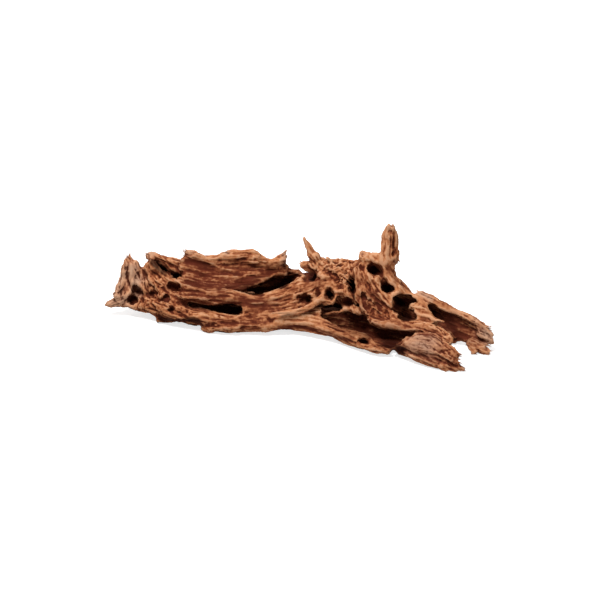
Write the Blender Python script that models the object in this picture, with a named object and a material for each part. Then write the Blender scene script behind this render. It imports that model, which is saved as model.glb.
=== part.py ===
# Piece of driftwood: a hollow, weathered root about 39 cm long, lying on a table as one solid.
# Run it with: blender --background --python part.py
#
# The wood is built the way it grew and then rotted. Limbs, laths and ribs are swept along curves and
# grown together, hollows and worm holes are cut out, and the surface is roughened along the grain.
#
# A place is (across, up, back) in millimetres. Across and up are square to a line of sight that looks
# down on the wood by SIGHT_TILT, from the front, so they are what an eye there measures. Back is the
# distance along the table, away from the eye. A station is such a place with the limb's half height
# and half depth there.

import itertools
import math
import random

import bmesh
import bpy
import numpy as np
from mathutils import Matrix, Vector, noise

SIGHT_TILT = math.radians(25)
MM = 0.001

SWEEP_STEP = 2.4 * MM       # between the rings of a sweep
RING_POINTS = 20
GROWTH_VOXEL = 1.5 * MM     # cell in which limbs grow together
CUT_VOXEL = 1.2 * MM        # cell in which hollows run together
SMOOTH_STEPS = 4
GRAIN_DEPTH = 2.1 * MM      # height of the roughness along the grain
GRAIN_WAVES = Matrix.Diagonal((0.022, 0.11, 0.13))  # waves for each millimetre along and across the grain
GRAIN_BEND = 0.0009         # how the grain curves up toward both ends
GRAIN_YAW = math.radians(-17)               # the grain runs from back left to front right
KNOT_DEPTH = 1.3 * MM       # height of the broad unevenness
KNOT_SIZE = 17 * MM
FLUTE = 0.14                # height of the flutes on a limb, as a share of its radius
FLUTE_DRIFT = 48            # how far the flutes wind round a limb, in radians for each metre
TIP_LENGTH = 0.5            # how far a limb's tip stands out, as a share of its last radius
# how a hole narrows from its mouth to its round end: shares of its depth and of its width
BORE_PROFILE = [(0, 1.12), (0.25, 1.0), (0.55, 0.92), (0.8, 0.72), (0.94, 0.42), (1, 0.15)]
TRIANGLES = 10800

WOOD_COLOUR = (0.27, 0.12, 0.06)
WOOD_ROUGHNESS = 0.8

UP, ACROSS = "up", "across"  # the direction in which a station's half height is measured

# What stands of the log itself.
LIMBS = {
    # left end, a grey broken stump with two toes
    "stump_face": (ACROSS, [(-170.4, 116, 140, 1.6, 2.4), (-170.6, 111.5, 140, 5.4, 5),
                            (-169.4, 105, 140, 9.4, 7), (-168.8, 94, 139, 12, 9),
                            (-169, 82, 137, 15, 9), (-168, 72, 134, 17, 9)]),
    "stump_toe": (UP, [(-166, 84, 136, 9, 8), (-177, 73, 134, 9, 8), (-188, 68.5, 133, 5, 6),
                       (-198, 66.5, 132, 1.4, 2)]),
    "stump_heel": (UP, [(-172, 68, 134, 5, 8), (-160, 66, 130, 6, 9), (-150, 66, 126, 8, 10),
                        (-140, 64, 122, 9, 10)]),
    "stump_edge": (ACROSS, [(-158, 105, 139, 3, 3), (-155, 94, 136, 6, 6), (-152, 82, 132, 8, 8),
                            (-146, 70, 126, 9, 9)]),
    # front left, the pitted shoulder that carries the front beams
    "shoulder": (ACROSS, [(-149.4, 113, 133, 2, 1.6), (-149.6, 106, 133, 6.4, 3.6),
                          (-146, 97, 131, 11, 6), (-139, 86, 128, 15, 10), (-132, 74, 122, 18, 13),
                          (-126, 64, 114, 16, 12), (-116, 59, 108, 12, 10)]),
    "foot": (UP, [(-143, 51, 116, 2.6, 4), (-132, 50.3, 113, 3.4, 6), (-116, 49.8, 112, 3.6, 6),
                  (-99, 49.4, 109, 2.8, 5)]),
    "step": (UP, [(-97, 45, 98, 4.4, 5), (-92, 44, 95, 5.4, 7), (-80, 44, 93, 5, 7)]),
    # beam along the front, from the shoulder to the low right tip
    "front_beam": (UP, [(-134, 62, 117, 10, 12), (-115, 58, 108, 9, 11), (-98, 54, 99, 8.4, 10),
                        (-75, 48.5, 94, 9.5, 10), (-50, 48.5, 92, 9.5, 9), (-25, 50, 91, 9.5, 9),
                        (0, 52, 88, 10, 9), (22, 47, 80, 9, 9), (44, 38, 67, 7.5, 9),
                        (66, 31, 53, 8, 10), (80, 23.6, 42, 4.4, 9), (94, 20.8, 38, 3.8, 9),
                        (107, 25.6, 34, 10.6, 11), (118, 25.5, 29, 13.6, 12), (136, 19, 17, 13, 10),
                        (148, 14.5, 10, 12, 8), (156, 9.5, 7, 9.5, 6), (161, 4.8, 4, 5.4, 4),
                        (165.6, 0.4, 2, 1.1, 1.3)]),
    # beam between the two long slots
    "middle_beam": (UP, [(-142, 94, 128, 5, 5), (-128, 86, 121, 6, 6), (-112, 78.5, 114, 8, 7),
                         (-97, 75.5, 110, 7.5, 8), (-80, 75.5, 107, 8, 8), (-57, 73, 104, 7, 8),
                         (-37, 70, 103, 8, 8), (-20, 73, 103, 10, 8), (-4, 80, 105, 10, 8),
                         (10, 86, 107, 9, 8), (24, 90, 108, 8, 8)]),
    "front_web": (UP, [(-56, 62, 97, 4, 5), (-40, 61, 97, 11, 5), (-20, 64, 98, 15, 6),
                       (0, 70, 99, 17, 7), (18, 74, 99, 16, 9)]),
    # plank that leans back behind them, in four laths on a thin board
    "board": (UP, [(-118, 101, 131, 5, 3), (-108, 100, 132, 14, 3), (-90, 98, 132, 15, 3),
                   (-70, 100, 133, 18, 3), (-50, 103, 136, 16, 3), (-34, 104, 139, 10, 3),
                   (-20, 103, 141, 8, 3), (-11, 98, 142, 7, 3), (0, 93, 142, 8, 4),
                   (10, 93, 138, 8, 5)]),
    "sill": (UP, [(-64, 84, 122, 6, 6), (-50, 86, 125, 9, 7), (-36, 88, 128, 9, 7),
                  (-20, 90, 130, 9, 8), (-4, 89, 129, 7, 8), (8, 87, 122, 6, 8)]),
    "lath_top": (UP, [(-116, 121, 132, 2.5, 3), (-108, 118.5, 132, 4.5, 4.5), (-95, 114, 132, 4.5, 4.5),
                      (-80, 112, 133, 5.5, 4.5), (-72, 115.5, 134, 7, 4.5), (-58, 117.5, 135, 6.5, 4.5),
                      (-44, 115.5, 136, 6.5, 4.5), (-32, 109, 138, 6, 4), (-22, 111, 140, 5.5, 4),
                      (-14, 117, 141, 5.5, 4), (-13, 122, 141, 2, 2.5)]),
    "lath_upper": (UP, [(-118, 112, 131, 4, 4), (-95, 104, 132, 4.5, 4.5), (-70, 103, 133, 5, 4.5),
                        (-45, 106, 137, 5, 4.5), (-20, 105, 141, 4.5, 4), (-10, 107, 143, 3, 3)]),
    "lath_lower": (UP, [(-120, 104, 126, 3, 3), (-105, 96.5, 124, 3.6, 4), (-85, 93, 122, 4, 4.5),
                        (-62, 94, 125, 4, 4.5), (-44, 97, 130, 4, 4), (-30, 100, 136, 3, 3)]),
    "lath_bottom": (UP, [(-122, 94, 121, 3, 3), (-100, 87, 119, 5, 6), (-80, 84, 118, 5, 7),
                         (-62, 84, 122, 4, 6), (-50, 86, 127, 2.5, 3)]),
    "splinter_beam": (UP, [(-153.2, 117, 140, 2.2, 2), (-150, 117, 140, 3.6, 3.4),
                           (-144, 115, 140, 3.6, 3.4), (-138, 112.8, 139.5, 4.8, 3.4),
                           (-128, 108.4, 139, 5.6, 3.5), (-116, 104.6, 137, 6.4, 4)]),
    "splinter_slat": (UP, [(-140, 106, 138, 1.5, 2), (-130, 101.5, 134, 1.6, 2),
                           (-120, 96, 130, 1.6, 2), (-110, 91, 124, 3, 3)]),
    "splinter_back": (UP, [(-155, 99, 138, 5, 4), (-151, 105, 143, 7, 3.4), (-142, 105, 145, 9, 3.4),
                           (-128, 99, 144, 9, 3.4), (-115, 98, 139, 8, 4), (-106, 98, 134, 7, 4)]),
    # low walls and root along the back
    "rear_wall": (UP, [(-120, 84, 146, 5, 3), (-98, 86, 148, 10, 3.5), (-72, 88, 151, 12, 4),
                       (-42, 91, 153, 14, 4), (-14, 91, 152, 12.5, 4.5), (4, 92, 148, 11, 6),
                       (22, 93, 142, 13, 8)]),
    "rear_roof": (UP, [(-66, 98, 146, 3, 7), (-40, 105, 148, 3, 8), (-16, 105, 149, 3, 8),
                       (-8, 101, 148, 3, 8), (2, 100, 147, 4, 8)]),
    "rear_base": (UP, [(-140, 70, 134, 6, 6), (-110, 66, 132, 9, 6), (-75, 63, 130, 11, 6),
                       (-40, 64, 130, 10, 6), (0, 66, 128, 10, 7)]),
    "rear_root": (UP, [(-172, 78, 146, 5, 6), (-150, 76, 147, 8, 8), (-125, 74, 149, 9, 9),
                       (-95, 74, 151, 9, 9), (-60, 73, 152, 10, 10), (-20, 74, 150, 11, 10),
                       (20, 73, 144, 13, 12), (55, 70, 135, 14, 12), (84, 62, 120, 13, 12),
                       (102, 46, 106, 7, 9), (114, 43, 99, 6, 8), (126, 43, 92, 7, 8),
                       (140, 43, 84, 8, 8), (158, 38, 74, 6, 6), (176, 33, 66, 3, 3)]),
    "belly": (UP, [(-10, 58, 116, 8, 7), (16, 56, 113, 10, 8), (40, 53, 109, 12, 8),
                   (62, 49, 102, 13, 9), (84, 42, 86, 12, 9), (106, 34, 62, 10, 8),
                   (124, 28, 48, 8, 7)]),
    # knotted middle with its spike, its thorn and its crest
    "knot": (UP, [(2, 86, 112, 8, 8), (16, 89, 113, 13, 14), (34, 89, 113, 18, 18),
                  (52, 88, 111, 21, 20), (72, 88, 108, 24, 24)]),
    "thorn": (UP, [(0, 110.8, 118, 1, 1.2), (4, 109, 117, 2.2, 3), (10, 106.5, 115, 2.6, 5),
                   (17, 104, 113, 3.2, 7), (25, 101, 112, 6, 8)]),
    "spike": (ACROSS, [(5.4, 136.6, 114, 1.8, 1.7), (7.8, 131, 114, 2.7, 2.5),
                       (11.2, 124, 114, 3.7, 3.4), (14.6, 117.6, 113, 5.2, 4.4), (18, 112, 112, 8, 5),
                       (20, 107, 112, 9, 7)]),
    "crest": (UP, [(20, 108, 113, 6, 6), (32, 107, 112, 6, 7), (46, 107, 110, 6, 7),
                   (58, 106, 107, 7, 7), (70, 108, 104, 8, 8), (84, 110, 100, 9, 8)]),
    "knob": (ACROSS, [(65, 123, 104, 1.6, 2), (66, 117, 103, 5, 4.5), (69, 108, 102, 9, 7),
                      (72, 98, 100, 11, 9)]),
    "saddle": (UP, [(62, 115, 103, 5, 5), (74, 116, 101, 5, 5), (80, 118, 100, 2.5, 3),
                    (90, 112, 99, 7, 7)]),
    # hollow log that runs out to the right end
    "log": (UP, [(50, 82, 108, 24, 24), (72, 81, 103, 27, 26), (92, 71, 97, 24, 25),
                 (108, 59.6, 88, 19.4, 23), (124, 55, 78, 18, 20), (142, 51, 70, 15, 14),
                 (152, 48, 65, 13, 9)]),
    "shell": (UP, [(122, 60, 82, 14, 7), (140, 54, 77, 17, 6), (156, 45, 70, 17.5, 5),
                   (168, 40, 63, 13.6, 4.5), (183, 36, 54, 11, 4), (191, 34, 50, 7.5, 3),
                   (194.5, 34, 48, 5, 2)]),
    "lip": (UP, [(118, 81.4, 88, 0.9, 1.4), (126, 76.6, 86, 4.4, 3.4), (138, 69.5, 80, 4.4, 3.6),
                 (148, 63, 75, 3, 3), (162, 58, 67, 3, 3), (176, 51, 59, 2.6, 3),
                 (190, 45, 53, 1.8, 2.4)]),
    # horn with the barb at its back
    "horn": (ACROSS, [(93, 147, 100, 4.2, 3.6), (92.4, 143, 100, 6.0, 5), (91.4, 137, 100, 7.4, 6),
                      (91, 128, 100, 8.0, 6.6), (90.8, 118, 99, 9.0, 7.2), (89.8, 110.5, 98, 9.6, 7.4),
                      (86, 104, 97, 9, 8), (82, 98, 95, 12, 10)]),
    "barb": (ACROSS, [(99, 124, 101, 1.6, 2.4), (100, 116, 101, 1.6, 2), (101.6, 108.5, 101, 0.8, 1)]),
    "horn_root": (UP, [(84, 104, 98, 9, 9), (90.5, 97, 97, 8, 8), (98.5, 83, 93, 7, 9),
                       (113, 73, 87, 6.5, 8), (128, 69, 80, 5.5, 7), (146, 60, 73, 4.5, 5)]),
}

# Spaces that rotted away, cut before the ribs are added.
HOLLOWS = {
    "log_space": (UP, [(62, 70, 96, 14, 13), (84, 68, 90, 19, 17), (104, 62, 82, 17, 16),
                       (122, 57, 74, 14, 13), (138, 52, 66, 13, 12), (154, 43, 58, 13, 10),
                       (172, 36, 52, 12, 7), (190, 30, 44, 8, 5), (206, 28, 38, 5, 4)]),
    "mouth": (UP, [(133, 58.5, 66, 2, 8), (141, 57, 62, 5.5, 13), (150, 50, 56, 12.5, 15),
                   (160, 42, 49, 14.5, 14), (170, 36, 42, 11, 11), (178, 34, 36, 8, 8)]),
    "splinter_space": (UP, [(-149.6, 113, 136, 1.2, 5), (-143, 108, 134, 2.8, 8),
                            (-136, 103.4, 132, 3.6, 9), (-128, 99, 131, 3.2, 8),
                            (-119, 93.5, 128, 1.6, 5)]),
    "knot_space": (UP, [(20, 58.5, 86, 2, 6), (28, 55.5, 88, 7, 12), (40, 55, 88, 11, 15),
                        (52, 51, 82, 11, 15), (62, 44.5, 74, 9, 12), (74, 38, 61, 6.5, 9),
                        (86, 32, 47, 5.5, 8), (95, 27, 38, 4, 5)]),
    "under_space": (UP, [(-128, 62, 132, 4, 6), (-100, 66, 126, 9, 9), (-70, 68, 126, 11, 12),
                         (-40, 70, 126, 12, 13), (-8, 74, 124, 12, 13), (18, 71, 124, 9, 10),
                         (34, 66, 122, 4, 5)]),
    "low_space": (UP, [(78, 41, 52, 2.4, 4), (90, 38.5, 43, 5, 5), (102, 38, 38, 4.4, 5),
                       (111, 38, 36, 1.6, 2)]),
    "trough": (UP, [(-53, 82.4, 120, 1.4, 6), (-45, 83.2, 124, 3.6, 15), (-31, 86.4, 128, 6.2, 18),
                    (-20, 90.2, 130, 7.2, 18), (-11, 92, 131, 6, 16), (-3, 94.8, 130, 3, 10)]),
}

# Harder wood that stands in and around those spaces.
RIBS = {
    "front_edge": (UP, [(-32, 58, 84, 1.5, 2), (-20, 59.5, 82, 2, 3), (0, 61, 81, 2.4, 3),
                        (10, 65, 82, 2.4, 3), (18, 70, 84, 3, 4), (26, 74, 86, 5, 5)]),
    "shoulder_lip": (UP, [(-149.4, 113, 130, 1.8, 2), (-146, 108, 129, 3.4, 3),
                          (-140, 101.5, 127, 3.2, 3), (-132, 95.4, 124, 2.6, 3),
                          (-120, 89.2, 118, 2.6, 3), (-107, 83.6, 111, 2.2, 3),
                          (-96, 81.6, 106, 1.3, 2)]),
    "shelf": (UP, [(-122, 77, 110, 2.5, 3), (-108, 74.5, 104, 2.5, 4), (-96, 73, 101, 2.8, 4),
                   (-90, 73, 100, 1.5, 2)]),
    "left_cheek": (ACROSS, [(22, 100, 106, 7, 4), (28, 92, 102, 9, 5), (30, 82, 97, 8, 5),
                            (26, 74, 92, 5, 4)]),
    "shredded_ridge": (UP, [(20, 113, 113, 2.2, 3), (30, 108.5, 108, 4, 4), (38, 103.5, 104, 4.6, 5),
                            (47, 95.6, 99, 4.4, 5), (53, 90.6, 95, 2.6, 4)]),
    "tooth_bar": (UP, [(34, 80, 92, 4, 5), (44, 81, 90, 4, 5), (53, 83, 88, 2.4, 3)]),
    "tooth_low": (UP, [(26, 70, 87, 4, 5), (34, 71, 86, 3.5, 4), (40, 75, 85, 1.6, 2)]),
    "front_rib": (ACROSS, [(60, 108, 99, 3, 4), (58, 95, 92, 3, 4), (57, 84, 87, 3, 4),
                           (60, 73, 82, 3, 4), (66, 63, 77, 2.6, 3.4), (70, 56, 73, 1.6, 2)]),
    "hole_rib": (ACROSS, [(69, 106, 97, 2.4, 3), (69, 96, 93, 2.6, 3.4), (76, 87, 87, 3.4, 4),
                          (86, 76, 80, 4, 4.4), (96, 63, 73, 4.6, 5), (106, 54, 67, 5, 5),
                          (120, 49, 60, 6, 6)]),
    "web": (UP, [(62, 94, 96, 4, 4), (68, 80, 88, 9, 5), (76, 70, 82, 13, 5), (86, 61, 76, 11, 5),
                 (98, 53, 68, 7, 5)]),
    "channel_step": (UP, [(74, 96, 96, 3, 4), (83, 91, 92, 5, 5), (93, 90, 90, 4, 5)]),
    "hole_bridge": (UP, [(82, 80, 84, 3, 4), (92, 79, 84, 3, 4), (103, 84, 88, 5, 5)]),
    "low_ridge": (UP, [(71, 52.6, 71, 1.6, 3), (79, 48.8, 66, 4, 5), (90, 47.2, 61, 5, 6),
                       (106, 45.4, 56, 6.2, 6), (120, 44, 50, 7, 7), (134, 40, 42, 8, 6),
                       (146, 36, 36, 6, 5)]),
    "brow": (UP, [(112, 66, 82, 5, 6), (124, 62, 74, 7, 6), (130, 55, 66, 7, 6), (134, 46, 56, 8, 6)]),
    "tongue": (UP, [(124, 58, 66, 3, 5), (136, 54, 58, 3, 4), (144, 51, 54, 2, 3),
                    (151, 48.5, 52, 0.9, 1.4)]),
    "patch": (UP, [(111, 31, 37, 8, 5), (124, 30, 31, 10, 5), (136, 26, 26, 11, 5),
                   (147, 29, 26, 7, 4)]),
    "cheek_plate": (UP, [(140, 36, 36, 8, 4), (148, 33, 31, 6, 4), (152, 30, 27, 5, 3)]),
    "strand_low": (UP, [(22, 52, 84, 1.2, 1.6), (34, 53, 82, 1.2, 1.6), (46, 54, 80, 1.2, 1.6),
                        (56, 57, 80, 1.6, 2)]),
    "strand_high": (UP, [(24, 57, 88, 1.4, 2), (36, 59, 86, 1.3, 2), (46, 62, 85, 1.4, 2),
                         (54, 66, 84, 1.8, 2)]),
    "prong_right": (UP, [(168, 31, 54, 5, 3.4), (178, 25.4, 47, 4.6, 3), (185, 22, 44, 3.6, 2.6),
                         (191.4, 18.8, 41, 1.4, 1.6)]),
    "prong_low": (ACROSS, [(172.6, 34, 56, 5, 3.4), (174.2, 25, 47, 4.2, 3), (174.6, 19, 41, 2.8, 2.2),
                           (175.4, 16.6, 38, 1.2, 1.3)]),
    "end_splinter": (UP, [(180, 40, 54, 4, 3), (190, 34, 50, 3, 3), (194, 29, 48, 2, 2),
                          (195, 26, 47, 1, 1)]),
    "stump_ridge": (ACROSS, [(-174, 112, 137, 1.6, 2), (-178, 100, 135, 2.6, 3), (-179, 90, 134, 3, 4),
                             (-184, 80, 131, 3, 3), (-186, 74, 129, 3, 3)]),
    "low_splinters": (UP, [(126, 14, 22, 4, 4), (142, 7, 12, 4, 4), (156, 1.5, 4, 2, 3)]),
    "recess_floor": (UP, [(52, 38, 84, 4, 12), (66, 33, 74, 3.8, 13), (82, 29.5, 64, 3.6, 13),
                          (98, 26.5, 55, 3.6, 12), (110, 25, 46, 4.4, 10)]),
}

# Holes and cracks cut last, each along the line of sight: the middle of its mouth as (across, up, back),
# its depth, its half width, its half height, and its turn in degrees.
BORES = {
    "eye_upper": (76.6, 102, 78, 34, 9.4, 5.9, -30),
    "eye_floor": (86, 92, 78, 16, 7.0, 4.2, -35),
    "eye_round": (89.8, 83.5, 74, 38, 7.0, 5.3, -8),
    "eye_large": (102, 68, 66, 46, 8.8, 9.4, -25),
    "eye_notch": (106, 74, 76, 26, 4.4, 3.6, 0),
    "eye_low": (108.6, 55, 56, 40, 8.8, 5.0, -8),
    "eye_through": (112.6, 54.4, 62, 90, 3.3, 2.8, 0),
    "knot_hole": (31.4, 78.4, 84, 28, 4.0, 6.0, 12),
    "slit": (54.6, 84.6, 80, 34, 2.4, 9.0, 4),
    "slit_side": (49.6, 89.4, 86, 18, 4.4, 2.0, 32),
    "pit_a": (69, 83, 82, 9, 2.4, 3.0, 0),
    "pit_b": (65, 74.5, 77, 10, 3.6, 3.8, 20),
    "pit_c": (78, 73.5, 77, 8, 2.6, 3.2, 0),
    "pit_d": (85, 67, 73, 8, 2.4, 3.4, 30),
    "pit_e": (75.5, 61, 70, 11, 4.4, 3.2, 0),
    "pit_f": (69, 64, 74, 8, 1.8, 3.0, 0),
    "pit_g": (82, 56, 66, 8, 4.0, 2.2, -20),
    "low_recess": (100, 32, 26, 20, 6.4, 5.0, -8),
    "low_recess_left": (64.8, 31, 38, 22, 6.6, 3.5, -6),
    "chin_notch": (95.2, 18, 10, 60, 2.6, 5.0, 8),
    "tip_break": (167.2, 12.4, -10, 60, 8.6, 9.2, -16),
    "tip_nick": (159.6, 10.6, -10, 60, 2.8, 1.6, 20),
    "block_step": (160.8, 27, -10, 60, 5.2, 5.0, 0),
    "slot_low": (-77, 62.8, 84, 32, 19.5, 4.4, 2),
    "slot_low_left": (-105, 67.6, 92, 16, 10.0, 1.8, 8),
    "shoulder_hollow": (-125.5, 85.2, 106, 22, 8.6, 4.4, -26),
    "shoulder_pit_a": (-133.4, 73.4, 104, 15, 5.4, 4.4, 10),
    "shoulder_pit_b": (-127.6, 63.2, 96, 15, 4.8, 3.6, 0),
    "shoulder_pit_c": (-148, 77.4, 114, 14, 3.6, 2.6, 20),
    "shoulder_pit_d": (-138.5, 82.5, 112, 7, 3.0, 2.4, 0),
    "stump_hollow": (-167.7, 72.2, 116, 27, 7.4, 6.2, -12),
    "stump_dent": (-163.0, 81.8, 118, 24, 6.6, 4.9, -38),
    "stump_crack_high": (-173, 106, 124, 15, 1.5, 4.6, -12),
    "stump_crack_mid": (-174, 97, 124, 14, 1.5, 5.4, 6),
    "stump_crack_low": (-171.5, 88, 122, 14, 1.5, 5.4, 20),
    "valley": (-155.5, 98, 122, 14, 1.6, 8.0, -8),
    "slit_upper": (-132.4, 103.7, 116, 50, 3.2, 1.5, -20),
    "slit_lower": (-122, 98.3, 114, 50, 5.0, 1.5, -28),
    "thorn_shade": (10.5, 99.8, 100, 30, 10.4, 5.2, -34),
    "thorn_shade_low": (7.5, 93, 92, 24, 6.0, 5.0, -20),
    "recess_upper": (48, 69.5, 78, 22, 8.4, 5.6, -8),
    "cheek_pit": (6, 74, 86, 17, 8.6, 5.8, -4),
    "cheek_pit_deep": (11.6, 72.4, 86, 26, 3.6, 3.4, 0),
    "beam_notch": (-28, 54, 74, 8, 2.6, 2.8, -30),
    "beam_scallop": (-69, 41, 78, 10, 5.6, 3.0, 0),
    "horn_notch": (100.4, 105, 92, 18, 3.4, 3.2, -24),
    "crest_pit_a": (38, 114, 102, 8, 3.4, 1.8, 20),
    "crest_pit_b": (49, 80, 80, 8, 2.4, 2.0, 0),
    "rear_gap_left": (-96, 74, 140, 22, 9.0, 4.0, 0),
    "end_gap": (190, 23.6, 36, 26, 5.6, 2.4, -26),
    "brow_pit": (147, 41, 40, 14, 4.2, 3.0, -20),
}


def place(across, up, back):
    """The point that an eye sees at across and up, that far back along the table."""
    return Vector((across * MM, back * MM, (up - back * math.sin(SIGHT_TILT)) / math.cos(SIGHT_TILT) * MM))


SIGHT = Vector((0, math.cos(SIGHT_TILT), -math.sin(SIGHT_TILT)))
PICTURE_UP = Vector((0, math.sin(SIGHT_TILT), math.cos(SIGHT_TILT)))
PICTURE_ACROSS = Vector((1, 0, 0))


def smooth_line(knots):
    """Rows read along a smooth curve through the knots, SWEEP_STEP apart, with their slopes."""
    knots = np.array(knots)
    gaps = np.linalg.norm(np.diff(knots[:, :3], axis=0), axis=1)
    slopes = np.diff(knots, axis=0) / gaps[:, None]
    inner = (slopes[:-1] * gaps[1:, None] + slopes[1:] * gaps[:-1, None]) / (gaps[:-1] + gaps[1:])[:, None]
    tangents = np.vstack([slopes[:1], inner, slopes[-1:]])
    rows, turns = [], []
    for i, gap in enumerate(gaps):
        steps = max(2, math.ceil(gap / SWEEP_STEP))
        last = i == len(gaps) - 1
        t = np.linspace(0, 1, steps + 1)[: steps + last][:, None]
        start, end = knots[i], knots[i + 1]
        rows.append((2 * t**3 - 3 * t**2 + 1) * start + (3 * t**2 - 2 * t**3) * end
                    + gap * ((t**3 - 2 * t**2 + t) * tangents[i] + (t**3 - t**2) * tangents[i + 1]))
        turns.append((6 * t**2 - 6 * t) * (start - end) / gap
                     + (3 * t**2 - 4 * t + 1) * tangents[i] + (3 * t**2 - 2 * t) * tangents[i + 1])
    return np.vstack(rows), np.vstack(turns)[:, :3]


def flutes(name, angles, along, height):
    """Grooves that run along a limb and drift round it, as shares of its radius."""
    draw = random.Random(name)
    share = np.ones((len(along), len(angles)))
    for lobes, part in ((draw.choice((3, 4, 5)), 0.45), (draw.choice((6, 7, 8)), 0.55)):
        start, drift = draw.uniform(0, math.tau), draw.uniform(-FLUTE_DRIFT, FLUTE_DRIFT)
        share += height * part * np.cos(lobes * angles[None, :] + start + drift * along[:, None])
    return share


def sweep(name, aim, stations, flute=FLUTE):
    """A closed tube through the stations, as (points, faces)."""
    knots = [(*place(*s[:3]), s[3] * MM, s[4] * MM) for s in stations]
    rows, turns = smooth_line(knots)
    centres, radii = rows[:, :3], np.maximum(rows[:, 3:], 0.4 * MM)
    forward = turns / np.linalg.norm(turns, axis=1)[:, None]
    aimed = np.array(PICTURE_UP if aim == UP else PICTURE_ACROSS)
    tall = aimed - (forward @ aimed)[:, None] * forward
    tall /= np.linalg.norm(tall, axis=1)[:, None]
    side = np.cross(forward, tall)
    angles = np.arange(RING_POINTS) * math.tau / RING_POINTS
    length = sum(np.linalg.norm(np.diff(centres, axis=0), axis=1))
    along = np.linspace(0, length, len(centres))
    share = flutes(name, angles, along, flute)[:, :, None]
    rise = tall[:, None] * radii[:, None, :1] * np.cos(angles)[None, :, None]
    reach = side[:, None] * radii[:, None, 1:] * np.sin(angles)[None, :, None]
    rings = centres[:, None] + share * (rise + reach)
    tips = np.array([centres[0] - forward[0] * radii[0].min() * TIP_LENGTH,
                     centres[-1] + forward[-1] * radii[-1].min() * TIP_LENGTH])
    count = len(centres) * RING_POINTS
    faces = []
    for k in range(RING_POINTS):
        after = (k + 1) % RING_POINTS
        faces.append((count, after, k))
        faces.append((count + 1, count - RING_POINTS + k, count - RING_POINTS + after))
        faces += [(r + k, r + after, r + RING_POINTS + after, r + RING_POINTS + k)
                  for r in range(0, count - RING_POINTS, RING_POINTS)]
    return np.vstack([rings.reshape(-1, 3), tips]), faces


def bore(across, up, back, depth, half_width, half_height, turn):
    """An oval hole along the line of sight that narrows to a round end, as (points, faces)."""
    mouth = place(across, up, back)
    turn = math.radians(turn)
    wide = PICTURE_ACROSS * math.cos(turn) + PICTURE_UP * math.sin(turn)
    high = PICTURE_UP * math.cos(turn) - PICTURE_ACROSS * math.sin(turn)
    points = []
    for share, size in BORE_PROFILE:
        for k in range(RING_POINTS):
            angle = k * math.tau / RING_POINTS
            uneven = size * (1 + 0.1 * math.sin(3 * angle + across) + 0.06 * math.sin(5 * angle + up))
            points.append(mouth + SIGHT * depth * share * MM
                          + wide * math.cos(angle) * half_width * uneven * MM
                          + high * math.sin(angle) * half_height * uneven * MM)
    count = len(points)
    faces = [tuple(range(RING_POINTS)), tuple(reversed(range(count - RING_POINTS, count)))]
    for r in range(0, count - RING_POINTS, RING_POINTS):
        for k in range(RING_POINTS):
            after = (k + 1) % RING_POINTS
            faces.append((r + after, r + k, r + RING_POINTS + k, r + RING_POINTS + after))
    return np.array(points), faces


def joined(name, shapes):
    """One object that holds several closed shapes, which may overlap."""
    points, faces, first = [], [], 0
    for shape_points, shape_faces in shapes:
        points.append(shape_points)
        faces += [tuple(first + v for v in face) for face in shape_faces]
        first += len(shape_points)
    mesh = bpy.data.meshes.new(name)
    mesh.from_pydata(np.vstack(points).tolist(), [], faces)
    obj = bpy.data.objects.new(name, mesh)
    bpy.context.scene.collection.objects.link(obj)
    return obj


def settle(obj):
    """Writes what the modifiers do into the object's mesh."""
    bpy.context.view_layer.update()
    mesh = bpy.data.meshes.new_from_object(obj.evaluated_get(bpy.context.evaluated_depsgraph_get()))
    obj.modifiers.clear()
    obj.data = mesh


def grow_together(obj, voxel):
    """Joins the shapes of an object in one skin."""
    remesh = obj.modifiers.new("grow together", "REMESH")
    remesh.mode = "VOXEL"
    remesh.voxel_size = voxel
    settle(obj)


def rot_away(wood, name, shapes):
    """Cuts the shapes out of the wood. EXACT takes minutes on skins this fine, so MANIFOLD cuts them."""
    cutter = joined(name, shapes)
    cutter.hide_render = True
    cutter.display_type = "WIRE"
    grow_together(cutter, CUT_VOXEL)
    cut = wood.modifiers.new(name, "BOOLEAN")
    cut.operation = "DIFFERENCE"
    cut.solver = "MANIFOLD"
    cut.object = cutter
    settle(wood)
    bpy.data.objects.remove(cutter)


def add_ribs(wood, shapes):
    """Grows the ribs into the wood."""
    ribs = joined("ribs", shapes)
    grow_together(ribs, CUT_VOXEL)
    join = wood.modifiers.new("ribs", "BOOLEAN")
    join.operation = "UNION"
    join.solver = "MANIFOLD"
    join.object = ribs
    settle(wood)
    bpy.data.objects.remove(ribs)


def weather(wood):
    """Softens the cuts, then roughens the wood along its grain."""
    smooth = wood.modifiers.new("worn smooth", "SMOOTH")
    smooth.factor = 0.5
    smooth.iterations = SMOOTH_STEPS
    settle(wood)
    spots = vertex_values(wood, "co")
    normals = vertex_values(wood, "normal")
    turn = Matrix.Rotation(-GRAIN_YAW, 3, "Z")
    for i, spot in enumerate(spots):
        bent = turn @ (Vector(spot) / MM)
        bent.z += GRAIN_BEND * bent.x * bent.x
        grain = noise.fractal(GRAIN_WAVES @ bent, 1.0, 2.0, 3)
        knots = noise.noise(Vector(spot) / KNOT_SIZE)
        spots[i] += normals[i] * (grain * GRAIN_DEPTH + knots * KNOT_DEPTH)
    wood.data.vertices.foreach_set("co", spots.ravel())


def vertex_values(obj, what):
    """The places or normals of an object's vertices, one row each."""
    values = np.empty(len(obj.data.vertices) * 3, np.float32)
    obj.data.vertices.foreach_get(what, values)
    return values.reshape(-1, 3)


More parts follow.
